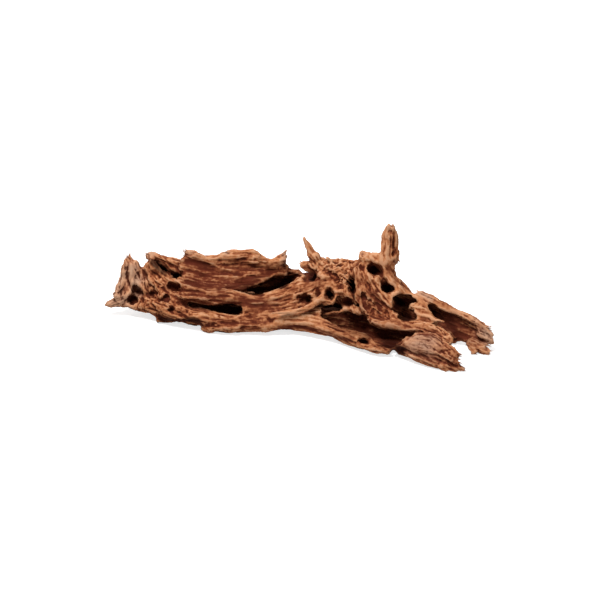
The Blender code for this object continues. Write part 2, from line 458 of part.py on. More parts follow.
def keep_largest(wood):
    """Drops crumbs that came loose and fills pockets that were closed in."""
    mesh = bmesh.new()
    mesh.from_mesh(wood.data)
    left, pieces = set(mesh.verts), []
    while left:
        piece, edge = set(), [left.pop()]
        while edge:
            vertex = edge.pop()
            piece.add(vertex)
            near = [e.other_vert(vertex) for e in vertex.link_edges]
            edge += [v for v in near if v in left]
            left.difference_update(near)
        pieces.append(piece)
    pieces.sort(key=len)
    bmesh.ops.delete(mesh, geom=[v for piece in pieces[:-1] for v in piece], context="VERTS")
    mesh.to_mesh(wood.data)
    mesh.free()


def wear_feet(wood):
    """Cuts the wood flat where it reaches the table."""
    table = joined("table", [box((-1, -1, -0.1), (1, 1, 0))])
    cut = wood.modifiers.new("flat feet", "BOOLEAN")
    cut.operation = "DIFFERENCE"
    cut.object = table
    settle(wood)
    bpy.data.objects.remove(table)


def thin_out(wood):
    """Lowers the number of triangles."""
    wood.data.calc_loop_triangles()
    fewer = wood.modifiers.new("fewer triangles", "DECIMATE")
    fewer.ratio = TRIANGLES / len(wood.data.loop_triangles)
    fewer.use_collapse_triangulate = True
    settle(wood)


def centre(wood):
    """Puts the origin on the table, under the middle of the wood."""
    spots = vertex_values(wood, "co")
    low, high = spots.min(axis=0), spots.max(axis=0)
    spots -= np.array([(low[0] + high[0]) / 2, (low[1] + high[1]) / 2, low[2]])
    wood.data.vertices.foreach_set("co", spots.ravel())
    wood.data.update()


def box(low, high):
    """A plain box, as (points, faces)."""
    corners = np.array(list(itertools.product(*zip(low, high))))
    return corners, [(0, 1, 3, 2), (4, 6, 7, 5), (0, 4, 5, 1), (2, 3, 7, 6), (0, 2, 6, 4), (1, 5, 7, 3)]


def wood_finish():
    finish = bpy.data.materials.new("driftwood")
    finish.use_nodes = True
    shader = finish.node_tree.nodes["Principled BSDF"]
    shader.inputs["Base Color"].default_value = (*WOOD_COLOUR, 1)
    shader.inputs["Roughness"].default_value = WOOD_ROUGHNESS
    shader.inputs["Metallic"].default_value = 0
    finish.diffuse_color = (*WOOD_COLOUR, 1)
    finish.roughness = WOOD_ROUGHNESS
    return finish


def driftwood():
    wood = joined("driftwood", [sweep(name, *limb) for name, limb in LIMBS.items()])
    grow_together(wood, GROWTH_VOXEL)
    rot_away(wood, "hollows", [sweep(name, *space) for name, space in HOLLOWS.items()])
    add_ribs(wood, [sweep(name, *rib) for name, rib in RIBS.items()])
    rot_away(wood, "bores", [bore(*hole) for hole in BORES.values()])
    grow_together(wood, GROWTH_VOXEL)
    keep_largest(wood)
    weather(wood)
    thin_out(wood)
    wear_feet(wood)
    keep_largest(wood)
    centre(wood)
    wood.data.materials.append(wood_finish())
    wood.data.shade_smooth()
    return wood


for old in list(bpy.data.objects):
    bpy.data.objects.remove(old)
driftwood()
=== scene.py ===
# Looks of a piece of driftwood: worn fibres, cracks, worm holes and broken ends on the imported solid.
import math
import random

import bmesh
import bpy
import numpy as np
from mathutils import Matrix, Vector, bvhtree, kdtree


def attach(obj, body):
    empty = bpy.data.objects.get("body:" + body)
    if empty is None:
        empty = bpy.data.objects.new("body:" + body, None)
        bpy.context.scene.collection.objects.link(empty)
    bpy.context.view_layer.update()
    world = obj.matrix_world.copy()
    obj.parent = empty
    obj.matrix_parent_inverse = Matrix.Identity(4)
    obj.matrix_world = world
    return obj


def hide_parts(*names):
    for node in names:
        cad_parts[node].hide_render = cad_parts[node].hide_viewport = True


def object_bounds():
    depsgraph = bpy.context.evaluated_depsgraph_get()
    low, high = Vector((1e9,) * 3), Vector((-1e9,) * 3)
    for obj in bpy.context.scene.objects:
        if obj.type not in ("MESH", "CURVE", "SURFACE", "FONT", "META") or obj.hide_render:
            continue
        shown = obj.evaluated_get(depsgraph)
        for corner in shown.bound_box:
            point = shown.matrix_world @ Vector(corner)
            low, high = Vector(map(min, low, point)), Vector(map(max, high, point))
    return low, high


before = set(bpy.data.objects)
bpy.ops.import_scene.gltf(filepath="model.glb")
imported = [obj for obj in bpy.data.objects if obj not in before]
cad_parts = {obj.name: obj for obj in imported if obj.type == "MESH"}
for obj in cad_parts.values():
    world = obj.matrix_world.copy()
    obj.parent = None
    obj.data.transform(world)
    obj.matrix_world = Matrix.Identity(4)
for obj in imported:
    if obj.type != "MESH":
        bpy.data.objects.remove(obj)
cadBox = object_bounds()

mm = 0.001
sightTilt = math.radians(25)  # how far the camera looks down
sightOrigin = Vector((0.79, -81.58, 0)) * mm  # where the places below are counted from
sight = Vector((0, math.cos(sightTilt), -math.sin(sightTilt)))
pictureUp = Vector((0, math.sin(sightTilt), math.cos(sightTilt)))
beforeWood = -200  # a distance back that is nearer than any of the wood


def spot(across, up, back):
    # a place named by what the camera sees across and up, and by its distance along the table
    height = (up - back * math.sin(sightTilt)) / math.cos(sightTilt)
    return Vector((across, back, height)) * mm + sightOrigin


def surfaceTree(obj):
    return bvhtree.BVHTree.FromObject(obj, bpy.context.evaluated_depsgraph_get())


packedTree = surfaceTree(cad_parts["driftwood"])


def seenSpot(across, up):
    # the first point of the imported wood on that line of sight, or None where it misses the wood
    return packedTree.ray_cast(spot(across, up, beforeWood), sight)[0]


def drapedLine(corners):
    # a line drawn on the wood as the camera sees it, as points about a millimetre apart
    found = []
    for start, end in zip(corners, corners[1:] or corners):
        steps = max(1, round(math.dist(start, end)))
        for k in range(steps + 1):
            share = k / steps
            found.append(seenSpot(*(low + (high - low) * share for low, high in zip(start, end))))
    return np.array([hit for hit in found if hit is not None])


# grain: lines that the fibres follow, one for each limb, rib and lath
grainLines = {
    "frontBeam": [(-150, 66, 124), (-115, 57, 108), (-75, 49, 94), (-25, 50, 91), (22, 47, 80),
                  (66, 31, 53), (118, 26, 29), (165, 1, 2)],
    "middleBeam": [(-142, 94, 128), (-112, 78, 114), (-80, 75, 107), (-37, 70, 103), (-4, 80, 105),
                   (24, 90, 108)],
    "frontWeb": [(-56, 62, 97), (-20, 64, 98), (18, 72, 99)],
    "plankTop": [(-116, 121, 132), (-95, 114, 132), (-72, 115, 134), (-44, 116, 136), (-32, 109, 138),
                 (-13, 121, 141)],
    "plankMiddle": [(-118, 110, 131), (-85, 102, 133), (-45, 106, 137), (-10, 106, 143)],
    "plankLow": [(-122, 98, 124), (-85, 90, 122), (-50, 95, 130), (-11, 101, 141), (8, 98, 128)],
    "topSplinter": [(-155, 117, 140), (-134, 111, 139), (-110, 104, 134)],
    "shoulder": [(-150, 114, 136), (-144, 97, 132), (-132, 74, 122), (-112, 58, 108)],
    "stump": [(-170, 115, 140), (-171, 94, 139), (-167, 70, 134)],
    "toe": [(-164, 86, 136), (-180, 72, 134), (-198, 66, 132)],
    "rearRoot": [(-172, 78, 146), (-95, 74, 151), (-20, 74, 150), (55, 70, 135), (114, 43, 99),
                 (176, 33, 66)],
    "belly": [(-10, 58, 116), (40, 53, 109), (84, 42, 86), (124, 28, 48)],
    "knot": [(4, 110, 118), (24, 99, 112), (44, 84, 100), (54, 74, 90), (60, 60, 80)],
    "cheek": [(8, 74, 98), (22, 82, 96), (36, 96, 104), (50, 108, 108)],
    "spike": [(4.5, 136.5, 114), (12.8, 121, 113), (22, 104, 111)],
    "horn": [(94, 146, 100), (93, 120, 99), (84, 100, 95)],
    "saddle": [(58, 112, 105), (72, 114, 101), (84, 108, 98), (96, 94, 96)],
    "hornRoot": [(84, 104, 98), (100, 83, 93), (128, 69, 80), (162, 58, 67), (190, 45, 53)],
    "holeRib": [(69, 106, 97), (69, 96, 93), (86, 76, 80), (106, 54, 67), (120, 49, 60)],
    "frontRib": [(60, 108, 99), (57, 84, 87), (60, 73, 82), (70, 56, 73)],
    "lowRidge": [(62, 52, 72), (90, 49, 61), (120, 46, 50), (146, 36, 36), (162, 10, 10)],
    "shell": [(122, 58, 80), (156, 46, 69), (194, 34, 48)],
}

weatheredWood = {
    "cell": 0.9 * mm,  # grid of the fine mesh
    "rounding": (2, 1),  # smoothing of the first and the second grid
    "triangles": 199000,
    # each kind of relief: size across the grain, height
    "lump": (14 * mm, 0.5 * mm),
    "strand": (4.8 * mm, 1.1 * mm),
    "fibre": (2.1 * mm, 1.15 * mm),
    "groove": (3.6 * mm, 0.7 * mm),
    "crumb": (2.6 * mm, 1.2 * mm),
    "dust": (1.6 * mm, 0.2 * mm),
    "fibreLength": 44 * mm,
    "grooveLength": 38 * mm,
    "crumbLength": 8 * mm,
    "crumbGrit": 1.9 * mm,
    "crackGaps": 6 * mm,  # how often a crack grows shallow
    "fullCrack": 1.6 * mm,  # depth at which the painted shade in a crack or a pit is darkest
    "fullPit": 1.4 * mm,
    "thinning": 0.18,  # the share of a wall that the relief may take away
    "firm": 9 * mm,  # walls thinner than this get less relief, and a little back on top
    "regain": 0.5 * mm,
    "wallReach": 20 * mm,
    "grainReach": 9 * mm,  # how far a grain line rules its surroundings
    "grainPiece": 12 * mm,
    "grainRounds": 6,
    "seed": 11,
}

# cracks and creases on the side that the camera sees: half width, depth, then corners (across, up)
cracks = [
    (0.9, 3.2, (-171.4, 110.4), (-173, 104), (-174.1, 97.5), (-172.8, 91), (-170.6, 85), (-166.7, 80)),
    (0.8, 2.2, (-166.7, 80), (-163, 76), (-159.3, 73), (-154, 68)),
    (0.7, 1.3, (-177.5, 102), (-180, 92), (-181.5, 82)), (0.6, 1.2, (-167.5, 108), (-164, 100), (-162, 91)),
    (0.6, 1.0, (-164.5, 104), (-161, 95), (-158, 88)), (0.7, 1.4, (-186, 75), (-180, 81), (-175.5, 88)),
    (0.6, 1.2, (-190, 68), (-182, 72), (-177, 76)),
    (1.0, 2.2, (-160.6, 110.4), (-157, 98), (-155, 85.6), (-148.2, 69)),
    (0.7, 1.6, (-161, 75), (-157, 72.5), (-152, 72)), (0.8, 1.4, (-148, 97), (-145, 87), (-147, 79)),
    (1.4, 2.4, (-134, 88.5), (-127.3, 83), (-120, 82.2), (-111, 81.8), (-101, 80.2), (-94, 79.6)),
    (0.9, 1.8, (-132, 100), (-125, 95.5), (-117.5, 89.7)),
    (0.8, 1.4, (-148, 115.5), (-138, 112.5), (-128, 108.5), (-120, 105)),
    (0.6, 1.0, (-146, 119), (-136, 116), (-125, 111.5)),
    (0.8, 1.8, (-61, 113.3), (-53, 113), (-45, 111.7), (-36, 109.2), (-30, 106.7), (-25, 107.5)),
    (0.7, 1.1, (-102, 116.5), (-88, 113), (-72, 112), (-58, 113.3)),
    (0.6, 1.0, (-68, 119.5), (-53, 119.7), (-40, 116.5), (-30, 112)),
    (0.7, 1.1, (-70, 108.5), (-53, 107.5), (-40, 104.5), (-28, 102)),
    (1.2, 1.7, (-118, 104.2), (-108, 101.2), (-98, 97.5), (-84, 95.5), (-68, 94.5)),
    (0.9, 1.4, (-93, 91), (-76, 89.5), (-60, 89), (-48, 90)),
    (0.8, 1.3, (-116, 98), (-106, 93), (-95, 89.5)),
    (0.9, 1.6, (-74, 100.8), (-58, 97.2), (-42, 95.2), (-26, 97)),
    (0.6, 1.8, (-14, 119.5), (-13.6, 113), (-14.5, 106)), (0.6, 1.3, (-19, 116), (-19.5, 108), (-22, 101)),
    (0.6, 1.3, (-12, 116), (-11.5, 109), (-13, 102)), (1.2, 2.2, (-76, 122), (-71.5, 118.8), (-69, 119.4)),
    (0.8, 1.4, (-112, 72.5), (-93, 74.2), (-78, 76.2), (-63, 74.6), (-46, 73), (-30, 74.5)),
    (0.7, 1.2, (-84, 80), (-68, 78.7), (-52, 74.8), (-36, 74.6)),
    (0.9, 1.5, (-122, 78), (-108, 77.2), (-94, 77.4)), (0.8, 1.3, (-116, 73), (-106, 71), (-99, 69)),
    (0.6, 1.0, (-54, 68.5), (-40, 67.5), (-26, 71), (-12, 77)),
    (0.8, 1.3, (-36, 64), (-22, 66.5), (-8, 69)), (0.8, 1.3, (-30, 60), (-13, 62.6), (2, 65.2), (16, 66.2)),
    (0.6, 1.0, (-92, 52.5), (-76, 51.5), (-58, 51), (-40, 52.5)),
    (0.8, 1.4, (-94, 46), (-82, 45.5), (-72, 46.2)), (0.6, 0.9, (-48, 47.5), (-36, 49), (-28, 49.6)),
    (0.6, 0.9, (-20, 51.2), (-6, 52.6), (8, 52), (22, 49.2)),
    (0.6, 0.8, (-17, 46.6), (-2, 46.6), (12, 45), (26, 42)),
    (0.7, 1.1, (26, 47), (42, 41.5), (54, 35.5), (64, 30.5)), (0.6, 0.8, (22, 41.5), (38, 36), (54, 30)),
    (1.8, 2.6, (-31.5, 54), (-28, 51.5), (-25, 50.5)), (0.7, 1.1, (18, 82), (21.5, 73), (24, 68)),
    (0.9, 1.3, (18.5, 89), (16, 81), (15, 74)), (0.8, 1.4, (59.2, 93), (59.5, 104), (60.5, 114)),
    (0.7, 1.2, (54, 99), (52, 106), (51.5, 111)), (0.6, 1.2, (64, 110), (66, 116), (68, 120)),
    (0.5, 0.6, (74, 116), (82, 110), (90, 102), (96, 94)), (0.5, 0.6, (85, 116), (92, 106), (98, 95)),
    (0.7, 1.3, (91, 142), (92.5, 132), (92, 122), (90.5, 114)),
    (0.6, 1.1, (95.5, 141), (96.5, 129), (97, 117)), (0.6, 1.0, (87.8, 136), (87, 127), (84.5, 118)),
    (0.9, 1.7, (69.3, 98.2), (74, 91), (78, 85), (81.6, 79.5)),
    (0.7, 1.1, (71, 71), (78, 65), (86, 57.5), (94, 50)),
    (0.7, 1.7, (111, 64.6), (116, 63.2), (122, 62.8), (127, 62.5)),
    (0.6, 0.9, (103, 72.5), (111, 68), (118, 65)), (0.6, 0.8, (106, 77), (120, 69), (135, 61)),
    (0.9, 1.6, (118.5, 77.2), (126, 72.5), (134, 68), (142, 63.6)),
    (0.6, 0.9, (122, 79), (132, 73), (143, 65.5)), (0.8, 1.5, (140, 51.5), (146, 48.5), (151, 50)),
    (0.6, 1.0, (128, 54), (138, 49.5), (148, 47)), (0.6, 0.9, (123, 48), (134, 44.5), (143, 42)),
    (0.7, 1.3, (106, 21), (122, 14.5), (138, 9.5), (154, 2.5)),
    (0.7, 1.3, (114, 19.6), (132, 15.6), (146, 9.5), (160, 1)),
    (0.7, 1.2, (127, 20), (142, 15.5), (154, 8.5)), (0.6, 1.1, (140, 22), (150, 18), (158, 12)),
    (0.7, 1.2, (142, 35), (143, 25.5)), (0.6, 1.1, (149, 36.5), (149.5, 27)),
    (1.0, 1.8, (136, 19.5), (145, 23.2), (153, 23.8)), (0.7, 1.1, (165, 58), (174, 50), (184, 43)),
    (0.7, 1.1, (172, 51), (182, 44), (192, 36)), (0.7, 1.1, (168, 47), (178, 40.5), (190, 33.5)),
    (0.6, 0.9, (180, 45), (188, 42), (194, 38)), (0.6, 1.1, (178, 34.6), (186, 32.5), (194, 30.5)),
    (0.6, 0.9, (70, 25.5), (80, 23), (90, 20.5)), (0.6, 0.7, (80, 47), (92, 44.5), (104, 42.5)),
]
# the grey patch on the log is split into short, nearly square blocks
for k in range(7):
    cracks.append((0.55, 0.8, (110 + k, 36.5 - 2.7 * k), (136 - k, 35 - 2.7 * k)))
for k in range(6):
    cracks.append((0.5, 0.6, (113 + 4.3 * k, 35.5 - 1.1 * k), (114 + 4.1 * k, 21 - 0.3 * k)))

# broad furrows and hollows on the same side: half width, depth, then corners
furrows = [
    (2.6, 2.2, (-116, 101), (-98, 96.2), (-78, 94), (-53, 92)),
    (3.4, 1.8, (-113, 112), (-98, 106.5), (-76, 100)), (2.2, 1.4, (-72, 105.5), (-53, 104.4), (-36, 101.4)),
    (2.4, 1.3, (-62, 116), (-48, 115), (-36, 111.5)), (2.6, 1.8, (-120, 76.5), (-98, 75.5), (-84, 76)),
    (2.6, 1.5, (-116, 71), (-93, 70.5), (-63, 71.5)), (2.2, 1.2, (-76, 71.5), (-53, 70.5), (-36, 71.5)),
    (2.0, 1.2, (-46, 64), (-30, 62.5), (-14, 64)), (2.4, 1.3, (-93, 48.5), (-73, 47.5), (-50, 46)),
    (2.6, 1.6, (-22, 44.5), (2, 44), (20, 41)), (2.4, 1.3, (32, 35.5), (47, 31)),
    (5.0, 6.0, (6, 103), (11, 98.5), (17, 93)), (6.5, 5.0, (139, 56), (154, 50), (168, 40)),
    (4.0, 4.0, (157, 38), (168, 32)), (4.5, 3.5, (-138, 49.5), (-118, 48), (-101, 48)),
    (3.0, 3.0, (-165, 86), (-161.5, 80)), (2.2, 2.0, (-156, 102), (-152, 88), (-147, 76)),
    (3.0, 2.0, (-146, 82), (-142, 73), (-136, 64)), (2.4, 2.2, (53, 102), (55, 92), (55.5, 80)),
    (3.2, 2.4, (73, 101), (80, 94), (86, 86)), (2.6, 2.0, (74, 76), (82, 66), (92, 56)),
    (3.6, 3.4, (82, 39.5), (97, 38), (112, 37)), (2.2, 1.6, (120, 54), (132, 50), (142, 45)),
    (2.6, 1.8, (130, 15), (144, 11), (156, 5)), (2.0, 1.6, (136, 22), (148, 21)),
    (2.0, 1.3, (-184, 89), (-181, 78), (-177, 70)), (2.4, 1.8, (42, 104), (48, 98), (52, 93)),
    (3.2, 3.0, (48, 112), (52, 111), (58, 111)), (1.8, 3.0, (51, 97), (54, 89), (55.5, 79)),
]

# fine ribs and lit edges on the same side: half width, height, then corners
ridges = [
    (1.1, 1.0, (-169, 109.5), (-165, 100), (-160, 89), (-152.5, 73)),
    (1.0, 0.8, (-179, 105), (-182.5, 88), (-184.5, 82)),
    (1.1, 1.0, (-148.5, 113), (-145, 107.5), (-140, 100.5)),
    (1.3, 1.1, (-130, 84.5), (-128.5, 79), (-126.6, 74)),
    (1.0, 1.0, (-118, 105.8), (-108, 103), (-97, 100), (-84, 99.7), (-70, 99.2)),
    (1.0, 0.7, (-102, 114.4), (-88, 109), (-76, 103.8), (-64, 102)),
    (0.9, 0.9, (-141, 105), (-132, 97), (-117, 89), (-102.7, 83), (-95, 82)),
    (1.2, 1.3, (-99, 73), (-94, 73.4), (-89.5, 71.6)),
    (0.9, 0.9, (-31, 57.4), (-11, 60), (9, 64), (23.5, 65)),
    (0.9, 0.7, (-105, 60.8), (-92, 57), (-78, 55.6), (-51.3, 55.6), (-36, 56.4)),
    (0.9, 0.8, (-78, 82.4), (-64, 81.2), (-51.3, 78.4), (-31.3, 78.4), (-11.3, 85), (4, 94.6)),
    (1.0, 0.9, (10, 107.6), (17, 103.5), (24, 99)),
    (0.9, 0.9, (69, 92), (77.6, 82), (85.5, 71), (95, 58.5), (109, 44.2)),
    (0.9, 0.8, (57, 93), (57, 84), (58, 75), (63, 67), (68, 58)),
    (0.9, 0.6, (81.6, 49.2), (94, 47), (109, 45.5)), (0.9, 0.8, (163, 58.6), (164.4, 54), (165.8, 48.6)),
    (0.8, 1.0, (28, 58), (40, 60), (50, 57)), (0.8, 1.0, (28, 52), (42, 55), (52, 53)),
    (0.8, 1.0, (32, 46), (47, 48), (62, 42)), (0.8, 1.0, (-1, 76), (3, 78), (8, 76)),
    (0.8, 1.0, (0, 71), (5, 72.5), (10, 70)), (0.8, 0.9, (5, 68), (10, 71.5), (14, 75)),
    (0.8, 1.1, (33, 97), (39, 94.5), (45, 90), (50, 87)), (0.8, 1.0, (36, 91), (42, 89), (48, 88)),
    (0.8, 1.0, (40, 101), (46, 96), (51, 91)), (0.8, 1.0, (32, 104), (38, 101), (43, 99.5)),
    (1.0, 1.2, (143, 50), (148, 46.6), (152, 44)),
]

# where worms and rot have pitted the wood: middle, reach, how many, smallest and largest pit
pitFields = [
    ((-140, 89), 15, 19, 0.7, 1.5), ((-148, 77.5), 7, 7, 1.0, 2.0), ((-133, 74), 8, 11, 0.9, 2.1),
    ((-127, 63), 7, 7, 0.9, 2.0), ((-112, 66), 11, 10, 0.6, 1.2), ((-179, 72), 10, 5, 0.5, 0.9),
    ((32, 107), 11, 14, 0.8, 1.9), ((44, 95), 9, 13, 0.7, 1.6), ((6, 73), 9, 14, 0.8, 2.0),
    ((29, 91), 12, 5, 0.5, 0.9), ((73, 73), 11, 16, 1.2, 2.6), ((68, 56), 8, 7, 0.8, 1.8),
    ((82, 63), 7, 7, 0.8, 1.6), ((146, 32), 9, 7, 0.7, 1.6), ((143, 46), 8, 8, 0.7, 1.6),
    ((-76, 44), 13, 8, 0.7, 1.6), ((-43, 48), 13, 5, 0.5, 1.0), ((82, 24), 11, 8, 0.6, 1.4),
    ((92, 141), 4, 5, 0.6, 1.1), ((62, 118.5), 6, 6, 0.6, 1.2), ((-62, 106), 20, 5, 0.4, 0.8),
    ((-112, 119), 6, 4, 0.6, 1.1), ((172, 50), 12, 6, 0.5, 1.1), ((142, 15), 13, 10, 0.6, 1.2),
    ((122, 29), 11, 7, 0.4, 0.8), ((-23, 72), 16, 8, 0.5, 1.1), ((120, 48), 10, 5, 0.5, 1.0),
]
# on the far side, with the distance along the table too
hiddenPits = [
    ((0, 80, 150), 95, 54, 0.7, 2.0), ((130, 50, 84), 50, 24, 0.7, 1.8),
    ((-130, 74, 150), 40, 18, 0.7, 1.8),
]

# areas of the seen side: reach, strength, then corners
areas = {
    "calm": [  # worn smooth
        (12, 0.9, (74, 115), (86, 110), (97, 94)), (10, 0.75, (20, 86), (28, 90), (38, 82)),
        (10, 0.8, (104, 80), (117, 69), (130, 60)),
        (12, 0.55, (-108, 109), (-83, 104), (-53, 102), (-23, 106)),
        (8, 0.55, (-98, 76), (-58, 74), (-23, 78)), (9, 0.85, (-20, 49), (2, 49), (22, 45)),
        (8, 0.6, (32, 40), (52, 34)), (7, 0.8, (82, 46), (106, 44)), (8, 0.8, (100, 97), (102, 82)),
        (10, 0.7, (114, 32), (132, 26)), (9, 0.4, (157, 47), (172, 37)),
    ],
    "rough": [  # rotten and crumbly
        (13, 0.45, (-150, 97), (-142, 87), (-132, 72), (-120, 64)),
        (8, 1.0, (24, 109), (37, 104), (48, 90)), (8, 1.0, (0, 74), (12, 72)),
        (10, 0.7, (64, 80), (74, 67), (86, 60)), (8, 0.8, (142, 46), (148, 40), (147, 30)),
        (8, 0.7, (148, 19), (157, 11)), (6, 0.6, (-116, 122), (-108, 118)),
        (8, 0.55, (-93, 45), (-73, 43), (-58, 44)), (6, 0.5, (58, 118), (68, 120)),
        (9, 0.35, (117, 50), (138, 44)), (7, 0.6, (180, 44), (191, 34)),
    ],
    "grey": [  # bleached by weather
        (9, 0.55, (-179, 97), (-183, 82)), (9, 0.75, (-168, 102), (-165, 92)),
        (9, 0.6, (-188, 70), (-176, 72)), (7, 0.9, (-165, 82)), (12, 0.65, (118, 29), (128, 27)),
        (9, 0.7, (187, 38), (192, 34)), (6, 0.35, (177, 50)), (4, 0.65, (119.5, 81), (132, 74)),
        (4, 0.6, (-152, 119), (-148, 120)), (4, 0.5, (-116, 122.5), (-108, 120)), (4, 0.9, (-73, 121)),
        (4, 0.5, (-14, 120), (-13, 110)), (4, 0.4, (93, 144)), (3, 0.6, (99, 111)), (5, 0.4, (64, 120.5)),
    ],
    "tanAndHighlight": [  # dry and worn, and painted highlight on lit tops and edges
        (12, 0.8, (92, 132), (88, 117), (77, 114)), (9, 0.8, (98, 104), (102, 87)),
        (11, 0.6, (107, 80), (127, 65), (132, 54)), (6, 0.4, (146, 61), (162, 54)),
        (6, 0.2, (80, 48), (107, 45), (127, 42)), (9, 0.5, (24, 92), (37, 87)),
        (9, 0.55, (27, 109), (42, 105)), (5, 0.6, (5, 132), (12, 117)), (4, 0.5, (10, 107.6), (24, 99)),
        (6, 0.35, (-112, 121), (-83, 115.5), (-53, 118), (-28, 113)), (9, 0.2, (-53, 116)),
        (8, 0.5, (-23, 110), (-15, 104)), (2.6, 0.4, (-97, 99), (-70, 99)), (5, 0.5, (-95, 86), (-86, 82)),
        (2.8, 0.5, (-78, 82), (-48, 78), (-12, 84.5), (4, 94)), (5, 0.35, (-103, 59.5), (-48, 55), (2, 58)),
        (5, 0.45, (-13, 53), (12, 53)), (9, 0.5, (-148, 100), (-140, 89)),
        (3, 0.5, (-138, 102), (-117, 89)), (7, 0.45, (145, 32)), (14, 0.3, (-170, 97)),
    ],
    "heartwoodAndShade": [  # damp heartwood, purple brown, and painted shade in recesses and under overhangs
        (8, 0.8, (-108, 110), (-98, 100), (-83, 95), (-53, 94), (-36, 94)),
        (6, 0.8, (-116, 113), (-112, 104)), (6, 0.8, (-118, 78), (-93, 77.5)),
        (7, 0.45, (-43, 73), (-23, 73)), (6, 0.9, (-133, 74)), (4.5, 0.9, (-128, 63)),
        (3.5, 0.9, (-132, 86)), (6, 0.9, (5, 104), (12, 97), (18, 91)), (5, 0.9, (-6, 102), (2, 100)),
        (8, 0.7, (4, 73)), (5, 0.6, (58, 87), (60, 74), (68, 60)), (8, 0.7, (66, 75), (77, 67)),
        (12, 1.0, (32, 57), (52, 52), (72, 42)), (6, 0.4, (86, 93)),
        (9, 1.0, (152, 54), (160, 37), (170, 32)), (5, 0.7, (82, 40), (112, 38)),
        (8, 0.9, (87, 30), (100, 24)), (5, 0.4, (72, 23), (90, 22)),
        (6, 0.55, (122, 16), (142, 11), (157, 4)), (4, 0.6, (-18, 44), (22, 41), (47, 33)),
        (4, 0.5, (59, 97), (58, 109)), (10, 0.95, (-112, 92), (-83, 87), (-53, 87)),
        (10, 0.8, (-113, 100), (-68, 91), (-28, 90)), (8, 0.8, (-93, 69), (-58, 70), (-23, 68)),
        (8, 0.5, (-88, 50), (-58, 47), (-36, 50)), (9, 0.75, (-118, 77), (-83, 75), (-48, 72)),
        (7, 0.7, (77, 49), (107, 43), (127, 39)), (12, 0.6, (138, 17), (154, 10)),
        (10, 0.45, (-108, 104), (-68, 100), (-36, 100)), (12, 0.4, (118, 29), (128, 27)),
        (10, 0.35, (-93, 104), (-36, 102)),
    ],
    "paintedShadow": [  # painted shadow: wood that no light has reached, under overhangs and in slots
        (5, 1.0, (-140, 50.5), (-123, 50), (-102, 50.5)), (6, 0.8, (7, 103), (16, 95)),
        (5, 1.0, (-48, 82), (-13, 86)), (7, 0.5, (-58, 85), (-36, 91), (-10, 98)),
        (7, 0.3, (-112, 89), (-83, 84), (-58, 84)), (7, 0.25, (-103, 75), (-63, 72), (-36, 69)),
        (5, 0.8, (-13, 92), (-3, 96)), (5, 1.0, (-93, 63), (-60, 62)), (8, 1.0, (87, 30), (100, 24)),
        (10, 0.5, (37, 47), (52, 42), (72, 37)), (3, 0.8, (52, 97), (55, 87), (56, 75)),
        (5, 1.0, (136, 58), (142, 54)), (8, 0.5, (152, 50), (160, 36)), (5, 1.0, (-146, 110), (-135, 101)),
        (6, 0.5, (76, 102)), (5, 0.9, (90, 84)), (8, 1.0, (102, 68)), (6, 1.0, (109, 54)),
        (4, 0.9, (54.5, 85)), (4.5, 0.9, (31, 79)),
    ],
}

# broken ends, where the fibres end at different lengths: place (across, up, back), reach, depth
brokenEnds = {
    "rows": [
        ((-170.5, 116, 140), 9, 4), ((-154, 117, 140), 6, 1.5), ((-149.5, 114, 133), 6, 3),
        ((-198, 66, 132), 8, 3), ((-116, 120, 132), 6, 1.5), ((-13, 120, 141), 9, 5), ((5, 136, 114), 3, 1),
        ((94, 146, 100), 8, 4), ((118, 81, 88), 6, 3), ((194, 36, 48), 12, 6), ((191, 19, 41), 6, 3),
        ((175, 17, 38), 6, 3), ((160, 8, 5), 11, 6), ((152, 20, 12), 9, 5), ((1, 110, 118), 5, 2),
    ],
    "teeth": (2.3 * mm, 40 * mm),  # width and length of a bundle of fibres
    "gain": 0.9,
    "least": -0.35,
    "most": 0.9,
    "shift": 0.25,
    "fade": 1.5,
    "seed": 41,
}


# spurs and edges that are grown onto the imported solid: corners as (across, up, back, radius)
spurs = [
    [(5.8, 134.3, 114, 1.4), (10, 126, 113.5, 2.5), (14.5, 117.5, 112.5, 4.0), (20, 108, 111, 5.5)],
    [(0.8, 109.8, 117, 0.9), (5, 109, 116.5, 2.6), (11, 108, 115, 4)],
    [(94.5, 143.5, 99.5, 2.8), (97.2, 136, 99.5, 3.3), (97.9, 123, 99, 3.2), (98.6, 114, 98.5, 2.4),
     (100.9, 110.6, 98, 0.7)],
    [(-152.5, 118.3, 140, 2.2), (-145, 116.3, 139, 3.3), (-130, 111.5, 137.5, 3.3),
     (-119, 107.5, 135.5, 3.4)],
    [(-112, 122, 132, 2.0), (-114.8, 118, 132, 2.6), (-115.2, 111, 132, 2.8), (-112, 104, 131, 3.0)],
    [(-112, 121.5, 132, 2.0), (-104, 118.5, 132, 2.6), (-94, 114.5, 132, 2.2)],
    [(-171, 114.5, 139.5, 1.6), (-176.5, 107.5, 139, 2.4), (-178.6, 97, 138.5, 2.6), (-182, 87, 136.5, 2.4),
     (-187, 77, 134, 2.0)],
    [(174, 51.5, 61, 2.2), (184, 46, 56, 2.6), (192, 39.5, 50.5, 2.0), (194.5, 33, 48, 1.6)],
    [(119.2, 80.2, 88, 1.6), (124, 79.6, 86, 2.2), (134, 73, 81, 2.4), (147, 63.5, 73, 2.0)],
    [(1.6, 109.3, 117, 1.4), (4.5, 106.5, 116.5, 2.4), (10, 103, 115.5, 3.4), (16, 100, 114, 4)],
    [(34, 109, 107, 2.6), (30.5, 113, 107, 1.7), (27.8, 115.8, 107, 0.7)],
    [(-14, 60, 94, 3.0), (5, 60.5, 92, 5.2), (17, 60.5, 90, 6.6), (24, 59.5, 88, 6.6)],
]


latticePrimes = (73856093, 19349663, 83492791, 974634777)
scramble = (2246822519, 3266489917)
wordMask = 0xffffffff
halfWord = 0xffff


